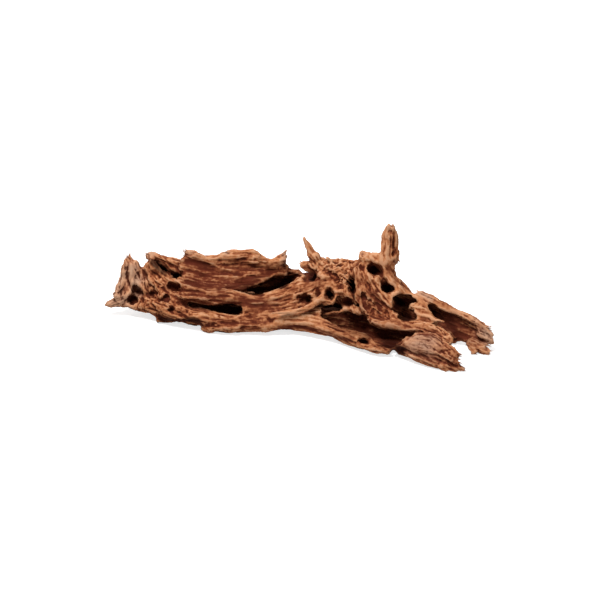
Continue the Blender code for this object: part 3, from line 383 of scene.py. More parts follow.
def latticeNoise(points, seed):
    # smooth random values from -1 to 1 on a unit lattice
    cell = np.floor(points).astype(np.int64)
    share = points - cell
    share = share * share * (3 - 2 * share)
    value = np.zeros(len(points))
    for step in np.ndindex(2, 2, 2):
        mix, weight = seed * latticePrimes[3], 1
        for k in range(3):
            mix = mix ^ ((cell[:, k] + step[k]) * latticePrimes[k])
            weight = weight * np.abs(1 - step[k] - share[:, k])
        mix = mix & wordMask
        mix = ((mix ^ (mix >> 15)) * scramble[0]) & wordMask
        mix = ((mix ^ (mix >> 13)) * scramble[1]) & wordMask
        corner = ((mix ^ (mix >> 16)) & halfWord) / (halfWord / 2) - 1
        value += corner * weight
    return value


sampleStep = 0.6  # in cells; wider steps would break the fibres into beads


def streaks(points, directions, across, length, seed):
    # noise smeared along the grain: long fibres, narrow across
    samples = math.ceil(length / across / sampleStep) + 1
    total = np.zeros(len(points))
    for step in np.linspace(-0.5, 0.5, samples):
        total += latticeNoise((points + directions * (step * length)) / across, seed)
    return total / math.sqrt(samples)


def linePieces():
    # the grain lines, cut into short pieces
    starts, ends = [], []
    for line in grainLines.values():
        places = np.array([spot(*corner) for corner in line])
        for start, end in zip(places[:-1], places[1:]):
            parts = max(1, round(np.linalg.norm(end - start) / weatheredWood["grainPiece"]))
            cuts = np.linspace(0, 1, parts + 1)[:, None]
            row = start + (end - start) * cuts
            starts.append(row[:-1])
            ends.append(row[1:])
    return np.vstack(starts), np.vstack(ends)


def grainField(points, reach, batch=20000):
    # the direction of the fibres at each point, from the lines near it
    starts, ends = linePieces()
    middles = (starts + ends) / 2
    turns = (ends - starts) / np.linalg.norm(ends - starts, axis=1)[:, None]
    field = np.zeros_like(points)
    for first in range(0, len(points), batch):
        part = points[first:first + batch]
        gap = np.linalg.norm(part[:, None] - middles[None], axis=2)
        gap -= gap.min(axis=1)[:, None]
        field[first:first + batch] = np.exp(-(gap / reach) ** 2) @ turns
    return field


def smoothGrain(mesh, places):
    field = grainField(places, weatheredWood["grainReach"])
    grain = spread(field, meshEdges(mesh), weatheredWood["grainRounds"])
    return grain / np.linalg.norm(grain, axis=1)[:, None]


def readVertices(mesh, what):
    values = np.empty(len(mesh.vertices) * 3, np.float32)
    mesh.vertices.foreach_get(what, values)
    return values.reshape(-1, 3).astype(float)


def writeVertices(mesh, places):
    mesh.vertices.foreach_set("co", places.astype(np.float32).ravel())
    mesh.update()


def meshEdges(mesh):
    pairs = np.empty(len(mesh.edges) * 2, np.int32)
    mesh.edges.foreach_get("vertices", pairs)
    return pairs.reshape(-1, 2)


def spread(values, pairs, rounds):
    # averages a value over neighbouring vertices
    count = np.bincount(pairs.ravel(), minlength=len(values)).astype(float)
    columns = values.reshape(len(values), -1)
    for _ in range(rounds):
        total = np.empty_like(columns)
        for k in range(columns.shape[1]):
            total[:, k] = (np.bincount(pairs[:, 0], columns[pairs[:, 1], k], len(values))
                           + np.bincount(pairs[:, 1], columns[pairs[:, 0], k], len(values)))
        columns = 0.5 * columns + 0.5 * total / np.maximum(count, 1)[:, None]
    return columns.reshape(values.shape)


needle = 0.005 * mm  # edges shorter than this are closed up


def keepLargest(mesh):
    # drops the crumbs that came off the wood, and triangles that have no area
    pairs = meshEdges(mesh)
    label = np.arange(len(mesh.vertices))
    while True:
        lowest = np.minimum(label[pairs[:, 0]], label[pairs[:, 1]])
        joined = label.copy()
        np.minimum.at(joined, pairs[:, 0], lowest)
        np.minimum.at(joined, pairs[:, 1], lowest)
        joined = joined[joined]
        if (joined == label).all():
            break
        label = joined
    main = np.bincount(label).argmax()
    shape = bmesh.new()
    shape.from_mesh(mesh)
    shape.verts.ensure_lookup_table()
    crumbs = [shape.verts[i] for i in np.where(label != main)[0]]
    bmesh.ops.delete(shape, geom=crumbs, context="VERTS")
    bmesh.ops.dissolve_degenerate(shape, edges=shape.edges[:], dist=needle)
    bmesh.ops.triangulate(shape, faces=[face for face in shape.faces if len(face.verts) > 3])
    loose = [edge for edge in shape.edges if len(edge.link_faces) != 2]
    print("crumbs", len(crumbs), "open edges", len(loose))
    shape.to_mesh(mesh)
    shape.free()


def settle(obj):
    bpy.context.view_layer.update()
    mesh = bpy.data.meshes.new_from_object(obj.evaluated_get(bpy.context.evaluated_depsgraph_get()))
    obj.modifiers.clear()
    obj.data = mesh


def newObject(name, mesh):
    obj = bpy.data.objects.new(name, mesh)
    bpy.context.scene.collection.objects.link(obj)
    return obj


def seenFrame(points, depthShare):
    # points as the camera sees them: across, up, and a share of their depth
    up, depth = points @ np.array(pictureUp), points @ np.array(sight)
    return np.column_stack([points[:, 0], up, depth * depthShare])


marginReach = 2.2  # beyond this many times its reach a line has no pull


def linePull(points, rows, depthShare, taper=0.0):
    # how strongly the nearest row's line pulls on each point; a taper lets it fade at both ends
    flat = seenFrame(points, depthShare)
    pull = np.zeros(len(points))
    for reach, strength, *corners in rows:
        line = drapedLine(corners)
        if not len(line):
            print("no wood under", corners)
            continue
        line = seenFrame(line, depthShare)
        margin = reach * mm * marginReach
        inside = (flat > line.min(axis=0) - margin) & (flat < line.max(axis=0) + margin)
        near = np.where(inside.all(axis=1))[0]
        gap, fade = np.full(len(near), margin), np.ones(len(near))
        for place, share in zip(line, np.linspace(0, 1, len(line))):
            length = np.linalg.norm(flat[near] - place, axis=1)
            nearer = length < gap
            gap[nearer] = length[nearer]
            fade[nearer] = 1 - taper * abs(2 * share - 1) ** 2
        pull[near] = np.maximum(pull[near], strength * fade * np.exp(-(gap / (reach * mm)) ** 2))
    return pull


def inMetres(rows):
    # rows whose strength is a height or a depth in millimetres
    return [(reach, height * mm, *corners) for reach, height, *corners in rows]


def pointTree(points):
    tree = kdtree.KDTree(len(points))
    for i, place in enumerate(points):
        tree.insert(place, i)
    tree.balance()
    return tree


def wavy(points, size, height, seed):
    # the points pushed about, so that what is measured from them wavers
    push = [latticeNoise(points / size, seed + k) * height for k in range(3)]
    return points + np.column_stack(push)


pitShape = {
    "slim": (0.3, 0.9),  # how much longer than wide a pit is, along the grain
    "depth": 1.1,  # in radii
    "steep": 1.6,
    "reach": 2.4,
}


def pitDepth(points, grain, draw):
    tree = pointTree(points)
    depth = np.zeros(len(points))
    fields = [(seenSpot(*place), *rest) for place, *rest in pitFields]
    fields += [(spot(*place), *rest) for place, *rest in hiddenPits]
    for place, reach, count, small, large in fields:
        if place is None:
            continue
        near = [i for _, i, gap in tree.find_range(place, reach * mm)]
        for _ in range(count if near else 0):
            middle = draw.choice(near)
            radius, slim = draw.uniform(small, large) * mm, draw.uniform(*pitShape["slim"])
            for _, i, gap in tree.find_range(Vector(points[middle]), radius * pitShape["reach"]):
                along = float((points[i] - points[middle]) @ grain[middle])
                shape = (gap ** 2 - slim * along ** 2) / radius ** 2
                bowl = radius * pitShape["depth"] * math.exp(-shape * pitShape["steep"])
                depth[i] = max(depth[i], bowl)
    return depth


def holdBack(relief, wood, places, normals, softest):
    # less relief where a wall is thin, so that nothing breaks through it
    settings = weatheredWood
    wall = wallThickness(wood, places, normals, settings["wallReach"])
    firm = np.clip(wall / settings["firm"], softest, 1)
    relief = relief * firm + (1 - firm) * settings["regain"]
    return np.maximum(relief, -settings["thinning"] * wall)


underSkin = 0.3 * mm  # a ray starts this far in or out, so that it misses its own face
overSkin = 0.6 * mm


def wallThickness(wood, places, normals, most):
    # how far the other side of the wood is, straight through
    tree = surfaceTree(wood)
    thickness = np.full(len(places), most)
    for i, (place, normal) in enumerate(zip(places, normals)):
        inward = -Vector(normal)
        gap = tree.ray_cast(Vector(place) + inward * underSkin, inward, most)[3]
        if gap is not None:
            thickness[i] = gap
    return thickness


goldenAngle = 2.399963  # spreads the rays evenly round the sky
wallGlow = 0.6  # what a wall at full reach still counts as sky


def openness(obj, mesh, pairs, reach, rays):
    # the share of the sky that each vertex sees: 1 in the open, 0 deep in a hole
    tree = surfaceTree(obj)
    places, normals = readVertices(mesh, "co"), readVertices(mesh, "normal")
    fan = []
    for k in range(rays):
        angle = k * goldenAngle
        rise = math.sqrt((k + 0.5) / rays)
        level = math.sqrt(1 - rise * rise)
        fan.append(Vector((math.cos(angle) * rise, math.sin(angle) * rise, level)))
    seen = np.zeros(len(places))
    for i, (place, normal) in enumerate(zip(places, normals)):
        up = Vector(normal)
        turn = up.to_track_quat("Z", "Y")
        start = Vector(place) + up * overSkin
        for ray in fan:
            hit = tree.ray_cast(start, turn @ ray, reach)[0]
            seen[i] += 1 if hit is None else wallGlow * (hit - start).length / reach
    return spread(seen / rays, pairs, 2)


def setValues(mesh, name, values):
    attribute = mesh.attributes.new(name, "FLOAT", "POINT")
    attribute.data.foreach_set("value", np.ascontiguousarray(values, np.float32))


def fineGrid(wood, cell, smoothing):
    remesh = wood.modifiers.new("fine grid", "REMESH")
    remesh.mode = "VOXEL"
    remesh.voxel_size = cell
    smooth = wood.modifiers.new("round off", "SMOOTH")
    smooth.factor = 0.5
    smooth.iterations = smoothing
    settle(wood)
    mesh = wood.data
    places = readVertices(mesh, "co")
    print("fine grid", len(places))
    return mesh, places, readVertices(mesh, "normal"), smoothGrain(mesh, places)


spurSides = 10


def tubeFaces(sides, rings, first=0):
    # walls and two ends of a tube whose points lie ring after ring
    faces = []
    for r in range(rings - 1):
        for k in range(sides):
            low, after = first + r * sides, (k + 1) % sides
            faces.append((low + k, low + after, low + sides + after, low + sides + k))
    faces.append(tuple(reversed(range(first, first + sides))))
    faces.append(tuple(range(first + (rings - 1) * sides, first + rings * sides)))
    return faces


def growSpurs(mesh):
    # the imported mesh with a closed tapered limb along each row, to be merged by the fine grid
    points = [vertex.co.copy() for vertex in mesh.vertices]
    faces = [tuple(face.vertices) for face in mesh.polygons]
    for row in spurs:
        middles = [spot(*corner[:3]) for corner in row]
        faces += tubeFaces(spurSides, len(row), len(points))
        for i, (middle, corner) in enumerate(zip(middles, row)):
            along = middles[min(i + 1, len(row) - 1)] - middles[max(i - 1, 0)]
            turn = along.to_track_quat("Z", "Y")
            for k in range(spurSides):
                angle = k * math.tau / spurSides
                rim = Vector((math.cos(angle), math.sin(angle), 0))
                points.append(middle + turn @ rim * (corner[3] * mm))
    grown = bpy.data.meshes.new("weatheredWood")
    grown.from_pydata(points, [], faces)
    return grown


def breakEnds(places, grain):
    # pulls the fibres back at a broken end, each by its own length
    settings = brokenEnds
    moved = places.copy()
    teeth = streaks(places, grain, *settings["teeth"], settings["seed"]) * settings["gain"]
    teeth = np.clip(teeth, settings["least"], settings["most"]) + settings["shift"]
    for place, reach, depth in settings["rows"]:
        end = np.array(spot(*place))
        gap = np.linalg.norm(places - end, axis=1) / (reach * mm)
        hold = np.exp(-gap ** 2 * settings["fade"])
        middle = places[gap < settings["fade"]].mean(axis=0)
        inward = (middle - end) / np.linalg.norm(middle - end)
        back = grain * np.sign(grain @ inward)[:, None]
        moved += back * (hold * teeth * depth * mm)[:, None]
    return moved


def carveWood():
    settings = weatheredWood
    draw = random.Random(settings["seed"])
    wood = newObject("weatheredWood", growSpurs(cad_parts["driftwood"].data))
    mesh, places, normals, grain = fineGrid(wood, settings["cell"], settings["rounding"][0])
    strand = streaks(places, grain, settings["strand"][0], settings["fibreLength"] * 1.5, 2)
    lump = latticeNoise(places / settings["lump"][0], 1) * settings["lump"][1]
    calm = linePull(places, areas["calm"], depthShare=0.5)
    relief = lump + (0.4 - np.abs(strand)) * settings["strand"][1] * (1 - 0.6 * calm)
    wave = wavy(places, size=8 * mm, height=0.8 * mm, seed=71)
    relief -= linePull(wave, inMetres(furrows), depthShare=0.25, taper=0.6)
    relief = holdBack(relief, wood, places, normals, softest=0.3)
    places = breakEnds(places + normals * relief[:, None], grain)
    writeVertices(mesh, places)

    mesh, places, normals, grain = fineGrid(wood, settings["cell"], settings["rounding"][1])
    calm = linePull(places, areas["calm"], depthShare=0.5)
    rough = linePull(places, areas["rough"], depthShare=0.5)
    wave = wavy(places, size=5 * mm, height=0.8 * mm, seed=51)
    crack = linePull(wave, inMetres(cracks), depthShare=0.15, taper=0.7)
    crack *= np.clip(0.65 + 0.6 * latticeNoise(places / settings["crackGaps"], 54), 0.15, 1)
    ridge = linePull(wave, inMetres(ridges), depthShare=0.15, taper=0.7)
    fibre = streaks(places, grain, settings["fibre"][0], settings["fibreLength"], 3)
    groove = np.abs(streaks(places, grain, settings["groove"][0], settings["grooveLength"], 6))
    groove = np.clip(groove - 0.8, 0, 0.5) * 2
    crumb = 0.8 * np.abs(streaks(places, grain, settings["crumb"][0], settings["crumbLength"], 8))
    crumb += 0.4 * latticeNoise(places / settings["crumbGrit"], 9)
    relief = (0.35 - np.abs(fibre)) * settings["fibre"][1] * (1 - 0.75 * calm)
    relief -= groove * settings["groove"][1] * (1 - 0.8 * calm)
    relief += (crumb - 0.35) * settings["crumb"][1] * rough
    dust = latticeNoise(places / settings["dust"][0], 4)
    relief += dust * settings["dust"][1] * (1 + 1.5 * rough)
    pit = pitDepth(places, grain, draw)
    relief += ridge - crack - pit
    relief = holdBack(relief, wood, places, normals, softest=0.75)
    # painted shade for cracks and pits, by their depth
    setValues(mesh, "crack", np.clip(crack / settings["fullCrack"], 0, 1))
    setValues(mesh, "pit", np.clip(pit / settings["fullPit"], 0, 1))
    writeVertices(mesh, places + normals * relief[:, None])
    print("relief", round(float(relief.min() / mm), 2), round(float(relief.max() / mm), 2))

    mesh.calc_loop_triangles()
    fewer = wood.modifiers.new("fewer triangles", "DECIMATE")
    fewer.ratio = min(1, settings["triangles"] / len(mesh.loop_triangles))
    settle(wood)
    mesh = wood.data
    writeVertices(mesh, np.clip(readVertices(mesh, "co"), *cadBox))
    keepLargest(mesh)
    mesh.shade_smooth()
    print("skin", len(mesh.polygons))
    return wood


woodMarks = {
    "rounds": (10, 40),  # how widely a ridge and a crest are measured
    "gain": (1.6, 0.35),
    "sky": 45 * mm,
    "rays": 22,
    "quickRays": 10,
    "edge": (6 * mm, 0.25),  # what makes the border of an area ragged: size, height
    "edgeFibre": (3 * mm, 20 * mm, 0.3),
    # millimetres across and along the grain, and the seed
    "streaks": {"fibre": (1.8, 40, 31), "thread": (1.3, 24, 35), "band": (6, 80, 32)},
    "cloud": (19 * mm, 9 * mm),
}


def markWood(wood):
    # values that the finish reads, one for each vertex
    mesh, settings = wood.data, woodMarks
    pairs = meshEdges(mesh)
    places, normals = readVertices(mesh, "co"), readVertices(mesh, "normal")
    grain = smoothGrain(mesh, places)
    # convexity: the finish paints highlight on ridges and shade in hollows from it
    flat = spread(places, pairs, settings["rounds"][0])
    ridge = ((places - flat) * normals).sum(axis=1) / mm
    broad = spread(flat, pairs, settings["rounds"][1])
    crest = ((places - broad) * normals).sum(axis=1) / mm
    setValues(mesh, "ridge", np.clip(ridge * settings["gain"][0], -1, 1))
    setValues(mesh, "crest", np.clip(crest * settings["gain"][1], -1, 1))
    rays = settings["rays"]
    # the finish paints shade where little sky is seen
    setValues(mesh, "openness", openness(wood, mesh, pairs, settings["sky"], rays))
    size, height = settings["edge"]
    edge = latticeNoise(places / size, 21) * height
    across, along, height = settings["edgeFibre"]
    edge = edge + streaks(places, grain, across, along, 22) * height
    wave = wavy(places, size=7 * mm, height=1.6 * mm, seed=61)
    for name in ("grey", "tanAndHighlight", "heartwoodAndShade", "paintedShadow"):
        strength = linePull(wave, areas[name], depthShare=0.5)
        setValues(mesh, name, np.clip(strength * (1 + edge), 0, 1))
    for name, (across, along, seed) in settings["streaks"].items():
        setValues(mesh, name, streaks(places, grain, across * mm, along * mm, seed))
    large, small = settings["cloud"]
    cloud = latticeNoise(places / large, 33) + 0.5 * latticeNoise(places / small, 34)
    setValues(mesh, "cloud", cloud)
    print("marks done")


# tufts of loose fibres: where, reach, how many, the way they point, shortest and longest, thickness
frayedFibres = {
    "tufts": [
        ((-171, 112), 5, 12, (0.1, 1), 3, 7, 0.6), ((-179, 102), 5, 5, (-0.6, 1), 3, 6, 0.5),
        ((-185, 82), 5, 6, (-1, 0.2), 3, 6, 0.5), ((-191, 68), 4, 6, (-1, -0.2), 3, 6, 0.5),
        ((-161, 65), 6, 8, (0.3, -1), 2, 5, 0.5), ((-147, 63), 6, 7, (0.2, -1), 2, 5, 0.5),
        ((-151, 118), 4, 9, (-1, 0.3), 3, 6, 0.6), ((-148, 112), 3, 5, (0, 1), 2, 4, 0.5),
        ((-115, 121), 5, 12, (-0.7, 0.7), 3, 7, 0.6), ((-102, 119), 4, 6, (-1, 0.3), 3, 6, 0.5),
        ((-72, 121), 4, 8, (-1, 0.2), 3, 6, 0.5), ((-14, 119), 4, 14, (0.2, 1), 3, 7, 0.6),
        ((2, 109.5), 3, 6, (-1, 0.3), 2, 5, 0.5), ((29, 112), 3, 7, (-0.6, 0.8), 3, 6, 0.6),
        ((39, 109), 5, 9, (-0.3, 1), 2, 5, 0.5), ((43, 95), 8, 22, (0.8, -0.5), 3, 8, 0.5),
        ((51, 86), 5, 10, (1, 0), 2, 5, 0.5), ((62, 119), 5, 8, (-0.2, 1), 2, 4, 0.5),
        ((92, 143), 5, 14, (0, 1), 2, 5, 0.6), ((100, 113), 3, 8, (0.4, -1), 3, 6, 0.6),
        ((120, 80), 3, 9, (-1, 0.6), 3, 6, 0.5), ((138, 69), 6, 7, (-0.8, 0.7), 2, 5, 0.5),
        ((152, 61), 6, 8, (0.3, 1), 2, 5, 0.5), ((176, 52), 6, 8, (0.8, 0.5), 2, 6, 0.5),
        ((189, 44), 5, 14, (1, 0.4), 3, 7, 0.6), ((192, 36), 5, 18, (1, -0.2), 3, 7, 0.6),
        ((189, 30), 4, 10, (1, -0.4), 3, 6, 0.5), ((189, 21), 4, 7, (1, -0.4), 2, 5, 0.5),
        ((176, 20), 4, 7, (0, -1), 2, 5, 0.5), ((157, 18), 5, 14, (1, -0.2), 3, 7, 0.6),
        ((158, 10), 5, 16, (1, -0.4), 3, 8, 0.6), ((161, 3), 4, 12, (1, -0.6), 3, 6, 0.5),
        ((140, 9), 6, 8, (0.9, -0.5), 3, 6, 0.5), ((114, 15), 6, 6, (0.9, -0.5), 2, 5, 0.5),
        ((-93, 73), 4, 8, (1, 0.1), 2, 5, 0.5), ((148, 47), 5, 10, (1, 0.2), 2, 5, 0.5),
        ((-138, 50), 4, 5, (-1, 0), 2, 5, 0.5), ((-94, 41), 4, 5, (-0.6, -1), 2, 4, 0.5),
        ((5, 73), 7, 14, (0.4, 0.6), 2, 5, 0.5), ((-132, 98), 4, 6, (-0.9, 0.5), 3, 7, 0.4),
    ],
    "sides": 5,
    "rings": 7,
    "towards": 0.7,  # how much the tuft's own way counts against the grain
    "outward": (0.1, 0.5),
    "scatter": 0.25,
    "stretch": 1.3,
    "thickness": (0.7, 1.8),
    "bend": 0.2,
    "root": (0.9 * mm, 1.5 * mm),  # how deep a fibre starts, and how far back
    "flatness": 0.5,
    "tint": (-0.6, 0.9),
    "seed": 5,
}


def fibreTube(start, direction, bend, length, thickness):
    # the points of a tapered fibre, ring after ring
    turn = direction.to_track_quat("Z", "Y")
    sides, rings = frayedFibres["sides"], frayedFibres["rings"]
    points = []
    for r in range(rings):
        share = r / (rings - 1)
        middle = start + direction * (length * share) + bend * (length * share ** 2)
        radius = thickness * (1 - 0.85 * share ** 1.5)
        for k in range(sides):
            angle = k * math.tau / sides
            wide, thick = math.cos(angle) * radius, math.sin(angle) * radius
            points.append(middle + turn @ Vector((wide, thick * frayedFibres["flatness"], 0)))
    return points


def frayWood(wood):
    settings = frayedFibres
    sides, rings = settings["sides"], settings["rings"]
    draw = random.Random(settings["seed"])
    places, normals = readVertices(wood.data, "co"), readVertices(wood.data, "normal")
    grain = smoothGrain(wood.data, places)
    low, high = cadBox
    points, faces = [], []
    for place, reach, count, way, short, long, thickness in settings["tufts"]:
        middle = np.array(seenSpot(*place))
        near = np.where(np.linalg.norm(places - middle, axis=1) < reach * mm)[0]
        aim = (Vector((1, 0, 0)) * way[0] + pictureUp * way[1]).normalized()
        for _ in range(count):
            at = int(draw.choice(near))
            fibre, out = Vector(grain[at]), Vector(normals[at])
            direction = fibre * (1 if fibre.dot(aim) > 0 else -1) + aim * settings["towards"]
            direction = direction + out * draw.uniform(*settings["outward"])
            scatter = [draw.uniform(-settings["scatter"], settings["scatter"]) for _ in range(3)]
            direction = (direction + Vector(scatter)).normalized()
            length = draw.uniform(short, long) * settings["stretch"] * mm
            radius = thickness * draw.uniform(*settings["thickness"]) * mm
            bend = Vector([draw.uniform(-settings["bend"], settings["bend"]) for _ in range(3)])
            start = Vector(places[at]) - out * settings["root"][0] - direction * settings["root"][1]
            made = fibreTube(start, direction, bend, length, radius)
            if any(not low[k] < point[k] < high[k] for point in made for k in range(3)):
                continue
            faces += tubeFaces(sides, rings, len(points))
            points += made
    mesh = bpy.data.meshes.new("frayedFibres")
    mesh.from_pydata(points, [], faces)
    mesh.shade_smooth()
    tufts = newObject("frayedFibres", mesh)

    tree = pointTree(places)
    nearest = [tree.find(point)[1] for point in points]
    for name in ("grey", "tanAndHighlight", "heartwoodAndShade", "paintedShadow", "openness", "cloud", "band"):
        values = np.empty(len(places), np.float32)
        wood.data.attributes[name].data.foreach_get("value", values)
        setValues(mesh, name, values[nearest])
    count = len(points) // (sides * rings)
    tints = np.repeat([draw.uniform(*settings["tint"]) for _ in range(count)], sides * rings)
    setValues(mesh, "fibre", tints)
    setValues(mesh, "thread", tints[::-1])
    # tufts take the painted highlight of slightly convex wood, and none of the painted shade of cracks and
    # pits
    for name, value in (("ridge", 0.25), ("crest", 0.3), ("crack", 0), ("pit", 0)):
        setValues(mesh, name, np.full(len(points), value))
    print("fibres", count)
    return tufts


def socket(tree, name, kind, direction, value=None):
    made = tree.interface.new_socket(name=name, in_out=direction, socket_type=kind)
    if value is not None:
        made.default_value = value
    return made


def link(tree, start, end):
    tree.links.new(start, end)


def mathNode(tree, operation, first, second=None, clamp=False):
    node = tree.nodes.new("ShaderNodeMath")
    node.operation = operation
    node.use_clamp = clamp
    for at, value in enumerate((first, second)):
        if value is None:
            continue
        if isinstance(value, (int, float)):
            node.inputs[at].default_value = value
        else:
            link(tree, value, node.inputs[at])
    return node.outputs[0]


def weighted(tree, parts):
    # the sum of values, each times its own weight
    total = None
    for value, weight in parts:
        value = mathNode(tree, "MULTIPLY", value, weight)
        total = value if total is None else mathNode(tree, "ADD", total, value)
    return total


def setInputs(node, values):
    for name, value in values.items():
        node.inputs[name].default_value = value


def remap(tree, value, low, high, newLow=0.0, newHigh=1.0):
    node = tree.nodes.new("ShaderNodeMapRange")
    node.interpolation_type = "SMOOTHSTEP"
    link(tree, value, node.inputs["Value"])
    setInputs(node, {"From Min": low, "From Max": high, "To Min": newLow, "To Max": newHigh})
    return node.outputs["Result"]


def mixColour(tree, share, first, second):
    node = tree.nodes.new("ShaderNodeMix")
    node.data_type = "RGBA"
    link(tree, share, node.inputs["Factor"])
    for name, value in (("A", first), ("B", second)):
        target = next(s for s in node.inputs if s.name == name and s.type == "RGBA")
        if isinstance(value, tuple):
            target.default_value = (*value, 1)
        else:
            link(tree, value, target)
    return next(s for s in node.outputs if s.type == "RGBA")


def attribute(tree, name):
    node = tree.nodes.new("ShaderNodeAttribute")
    node.attribute_name = name
    return node.outputs["Fac"]


porePatterns = ((900.0, 4), (260.0, 3))  # scale and detail


def poreGroup():
    # fine pores and specks of dry wood
    group = bpy.data.node_groups.new("woodPores", "ShaderNodeTree")
    socket(group, "Size", "NodeSocketFloat", "INPUT", 1.0)
    socket(group, "Depth", "NodeSocketFloat", "INPUT", 0.5)
    socket(group, "Height", "NodeSocketFloat", "OUTPUT")
    socket(group, "Speck", "NodeSocketFloat", "OUTPUT")
    start, end = group.nodes.new("NodeGroupInput"), group.nodes.new("NodeGroupOutput")
    place = group.nodes.new("ShaderNodeTexCoord")
    noises = []
    for scale, detail in porePatterns:
        noise = group.nodes.new("ShaderNodeTexNoise")
        setInputs(noise, {"Detail": detail, "Roughness": 0.62})
        link(group, place.outputs["Object"], noise.inputs["Vector"])
        size = mathNode(group, "MULTIPLY", start.outputs["Size"], scale)
        link(group, size, noise.inputs["Scale"])
        noises.append(noise.outputs["Fac"])
    height = mathNode(group, "MULTIPLY", mathNode(group, "ADD", *noises), start.outputs["Depth"])
    link(group, height, end.inputs["Height"])
    link(group, remap(group, noises[1], 0.35, 0.68), end.inputs["Speck"])
    return group


woodFinish = {
    "holeShadow": (0.018, 0.0025, 0.0008),  # painted shadow inside holes and cracks
    "shade": (0.060, 0.011, 0.0045),  # painted shade in hollows and on undersides, and the lowest tone
    "body": (0.205, 0.059, 0.023),  # reddish brown of most of the wood
    "light": (0.400, 0.162, 0.070),  # worn tan edges, and painted highlight on lit ridges
    "pale": (0.540, 0.290, 0.165),  # the driest ridges, and the strongest painted highlight
    "grey": (0.430, 0.262, 0.175),  # weathered ends
    "greyShade": (0.120, 0.058, 0.036),
    "heartwoodAndShade": (0.095, 0.019, 0.009),  # damp heartwood, also painted shade
    # painted shade inside pits
    "pit": (0.070, 0.014, 0.007),
    "roughness": (0.72, 0.95),
    "bump": 0.6,
    # how much each mark lightens the wood; ridge and crest paint highlight on convex wood and shade in
    # hollows, besides wear
    "weights": {"fibre": 0.36, "thread": 0.18, "band": 0.16, "cloud": 0.08, "ridge": 0.42,
                "crest": 0.20, "tanAndHighlight": 0.32, "paintedShadow": -0.3},
    "speck": 0.22,
    "start": 0.02,
    # from painted shade in hollows to the driest, lit ridges: the tones between which each colour comes in
    "tones": [(0.0, 0.40, "body"), (0.36, 0.80, "light"), (0.78, 1.15, "pale")],
    # laid over that, painted shade in hollows, pits and cracks, and the painted shadow areas: mark, where
    # it starts and ends, its share at both, colour
    "layers": [
        ("openness", 0.2, 0.82, 0.95, 0.0, "shade"),
        ("pit", 0.1, 1.0, 0.0, 0.6, "pit"),
        ("crack", 0.1, 1.0, 0.0, 0.75, "shade"),
        ("paintedShadow", 0.1, 0.85, 0.0, 0.9, "holeShadow"),
        ("openness", 0.02, 0.30, 1.0, 0.0, "holeShadow"),
    ],
    # height of the bump
    "heights": {"fibre": 0.6, "thread": 0.35},
    "bumpDistance": 0.6 * mm,
    "gloss": 0.06,
}


def finishWood(name, pores, settings):
    finish = bpy.data.materials.new(name)
    finish.use_nodes = True
    tree = finish.node_tree
    shader = tree.nodes["Principled BSDF"]
    grainPores = tree.nodes.new("ShaderNodeGroup")
    grainPores.node_tree = pores
    fibre = remap(tree, attribute(tree, "fibre"), -1.1, 1.1)
    marks = {"fibre": fibre, "band": remap(tree, attribute(tree, "band"), -1.2, 1.2)}
    for mark in ("thread", "cloud", "ridge", "crest", "tanAndHighlight", "paintedShadow"):
        marks[mark] = attribute(tree, mark)
    parts = [(marks[mark], weight) for mark, weight in settings["weights"].items()]
    tone = weighted(tree, parts + [(grainPores.outputs["Speck"], settings["speck"])])
    tone = mathNode(tree, "ADD", tone, settings["start"], clamp=True)

    colour = settings["shade"]
    for low, high, brighter in settings["tones"]:
        colour = mixColour(tree, remap(tree, tone, low, high), colour, settings[brighter])
    # grey wood, from its copy in painted shade to its lit colour, by tone
    greyWithShade = mixColour(tree, remap(tree, tone, 0.05, 0.6), settings["greyShade"], settings["grey"])
    colour = mixColour(tree, attribute(tree, "grey"), colour, greyWithShade)
    # purple-brown heartwood and painted shade, stronger where the tone is low
    heartwoodAndShadeByTone = remap(tree, tone, 0.15, 0.9, 1.0, 0.45)
    heartwoodAndShadeShare = mathNode(tree, "MULTIPLY", attribute(tree, "heartwoodAndShade"), heartwoodAndShadeByTone)
    colour = mixColour(tree, heartwoodAndShadeShare, colour, settings["heartwoodAndShade"])
    for mark, low, high, atLow, atHigh, cover in settings["layers"]:
        share = remap(tree, attribute(tree, mark), low, high, atLow, atHigh)
        colour = mixColour(tree, share, colour, settings[cover])
    link(tree, colour, shader.inputs["Base Color"])

    low, high = settings["roughness"]
    link(tree, remap(tree, fibre, 0.0, 1.0, high, low), shader.inputs["Roughness"])
    setInputs(shader, {"Specular IOR Level": settings["gloss"]})
    bump = tree.nodes.new("ShaderNodeBump")
    setInputs(bump, {"Strength": settings["bump"], "Distance": settings["bumpDistance"]})
    heights = [(marks[mark], height) for mark, height in settings["heights"].items()]
    height = weighted(tree, [(grainPores.outputs["Height"], 1.0)] + heights)
    link(tree, height, bump.inputs["Height"])
    link(tree, bump.outputs["Normal"], shader.inputs["Normal"])
    return finish


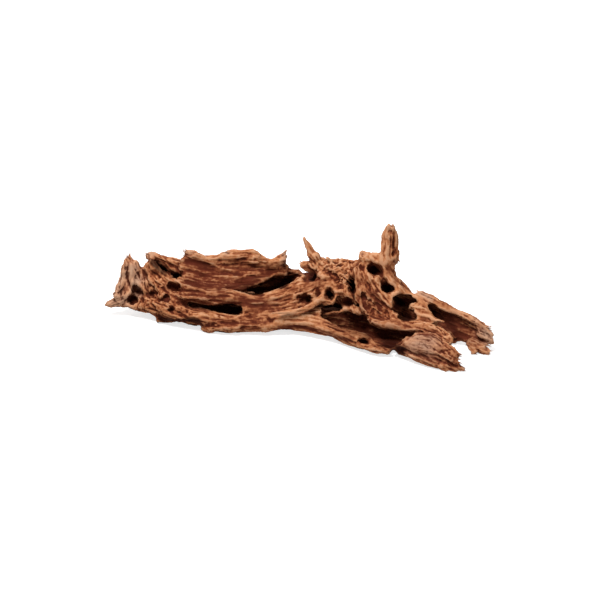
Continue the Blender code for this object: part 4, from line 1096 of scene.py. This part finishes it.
studio = {
    "lens": 200,  # millimetres
    "sensor": 36,
    "aim": (2, 72, 80),
    "frameWidth": 0.6,  # metres of table across the picture
    "farthest": 40,
    "floor": (0.60, 0.60, 0.60),
    "floorReach": 6,
    "floorHeight": -0.2 * mm,
    "glow": 0.72,  # what the paper adds where the camera sees it
    # lamps: place, size, power
    "key": ((-0.35, -0.45, 1.5), 0.6, 37),
    "fill": ((0.9, -1.3, 0.7), 1.0, 3.5),
    "rim": ((0.1, 1.2, 0.9), 0.8, 7),
    "sky": 0.15,
}


def buildStudio():
    lookAt = spot(*studio["aim"])
    camera = newObject("camera", bpy.data.cameras.new("camera"))
    camera.data.lens = studio["lens"]
    camera.data.sensor_width = studio["sensor"]
    camera.data.clip_end = studio["farthest"]
    distance = studio["frameWidth"] / studio["sensor"] * studio["lens"]
    camera.location = lookAt - sight * distance
    camera.rotation_euler = (math.pi / 2 - sightTilt, 0, 0)
    bpy.context.scene.camera = camera

    for name in ("key", "fill", "rim"):
        place, size, power = studio[name]
        lamp = newObject(name, bpy.data.lights.new(name, "AREA"))
        lamp.data.size = size
        lamp.data.energy = power
        lamp.location = place
        lamp.rotation_euler = (lookAt - Vector(place)).to_track_quat("-Z", "Y").to_euler()

    world = bpy.data.worlds.new("studio")
    bpy.context.scene.world = world
    world.use_nodes = True
    sky = world.node_tree.nodes["Background"]
    setInputs(sky, {"Color": (1, 1, 1, 1), "Strength": studio["sky"]})
    bpy.context.scene.view_settings.view_transform = "Standard"

    plane = bpy.data.meshes.new("floor")
    far = studio["floorReach"]
    corners = [(-far, -far, 0), (far, -far, 0), (far, far, 0), (-far, far, 0)]
    plane.from_pydata(corners, [], [(0, 1, 2, 3)])
    floor = newObject("floor", plane)
    floor.location.z = studio["floorHeight"]
    paper = bpy.data.materials.new("studioPaper")
    paper.use_nodes = True
    tree = paper.node_tree
    shader = tree.nodes["Principled BSDF"]
    setInputs(shader, {"Base Color": (*studio["floor"], 1), "Roughness": 1,
                       "Specular IOR Level": 0, "Emission Color": (1, 1, 1, 1)})
    path = tree.nodes.new("ShaderNodeLightPath")
    glow = mathNode(tree, "MULTIPLY", path.outputs["Is Camera Ray"], studio["glow"])
    link(tree, glow, shader.inputs["Emission Strength"])
    plane.materials.append(paper)


wood = carveWood()
markWood(wood)
tufts = frayWood(wood)
finish = finishWood("weatheredWood", poreGroup(), woodFinish)
for piece in (wood, tufts):
    piece.data.materials.append(finish)
    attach(piece, "root")
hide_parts("driftwood")
buildStudio()
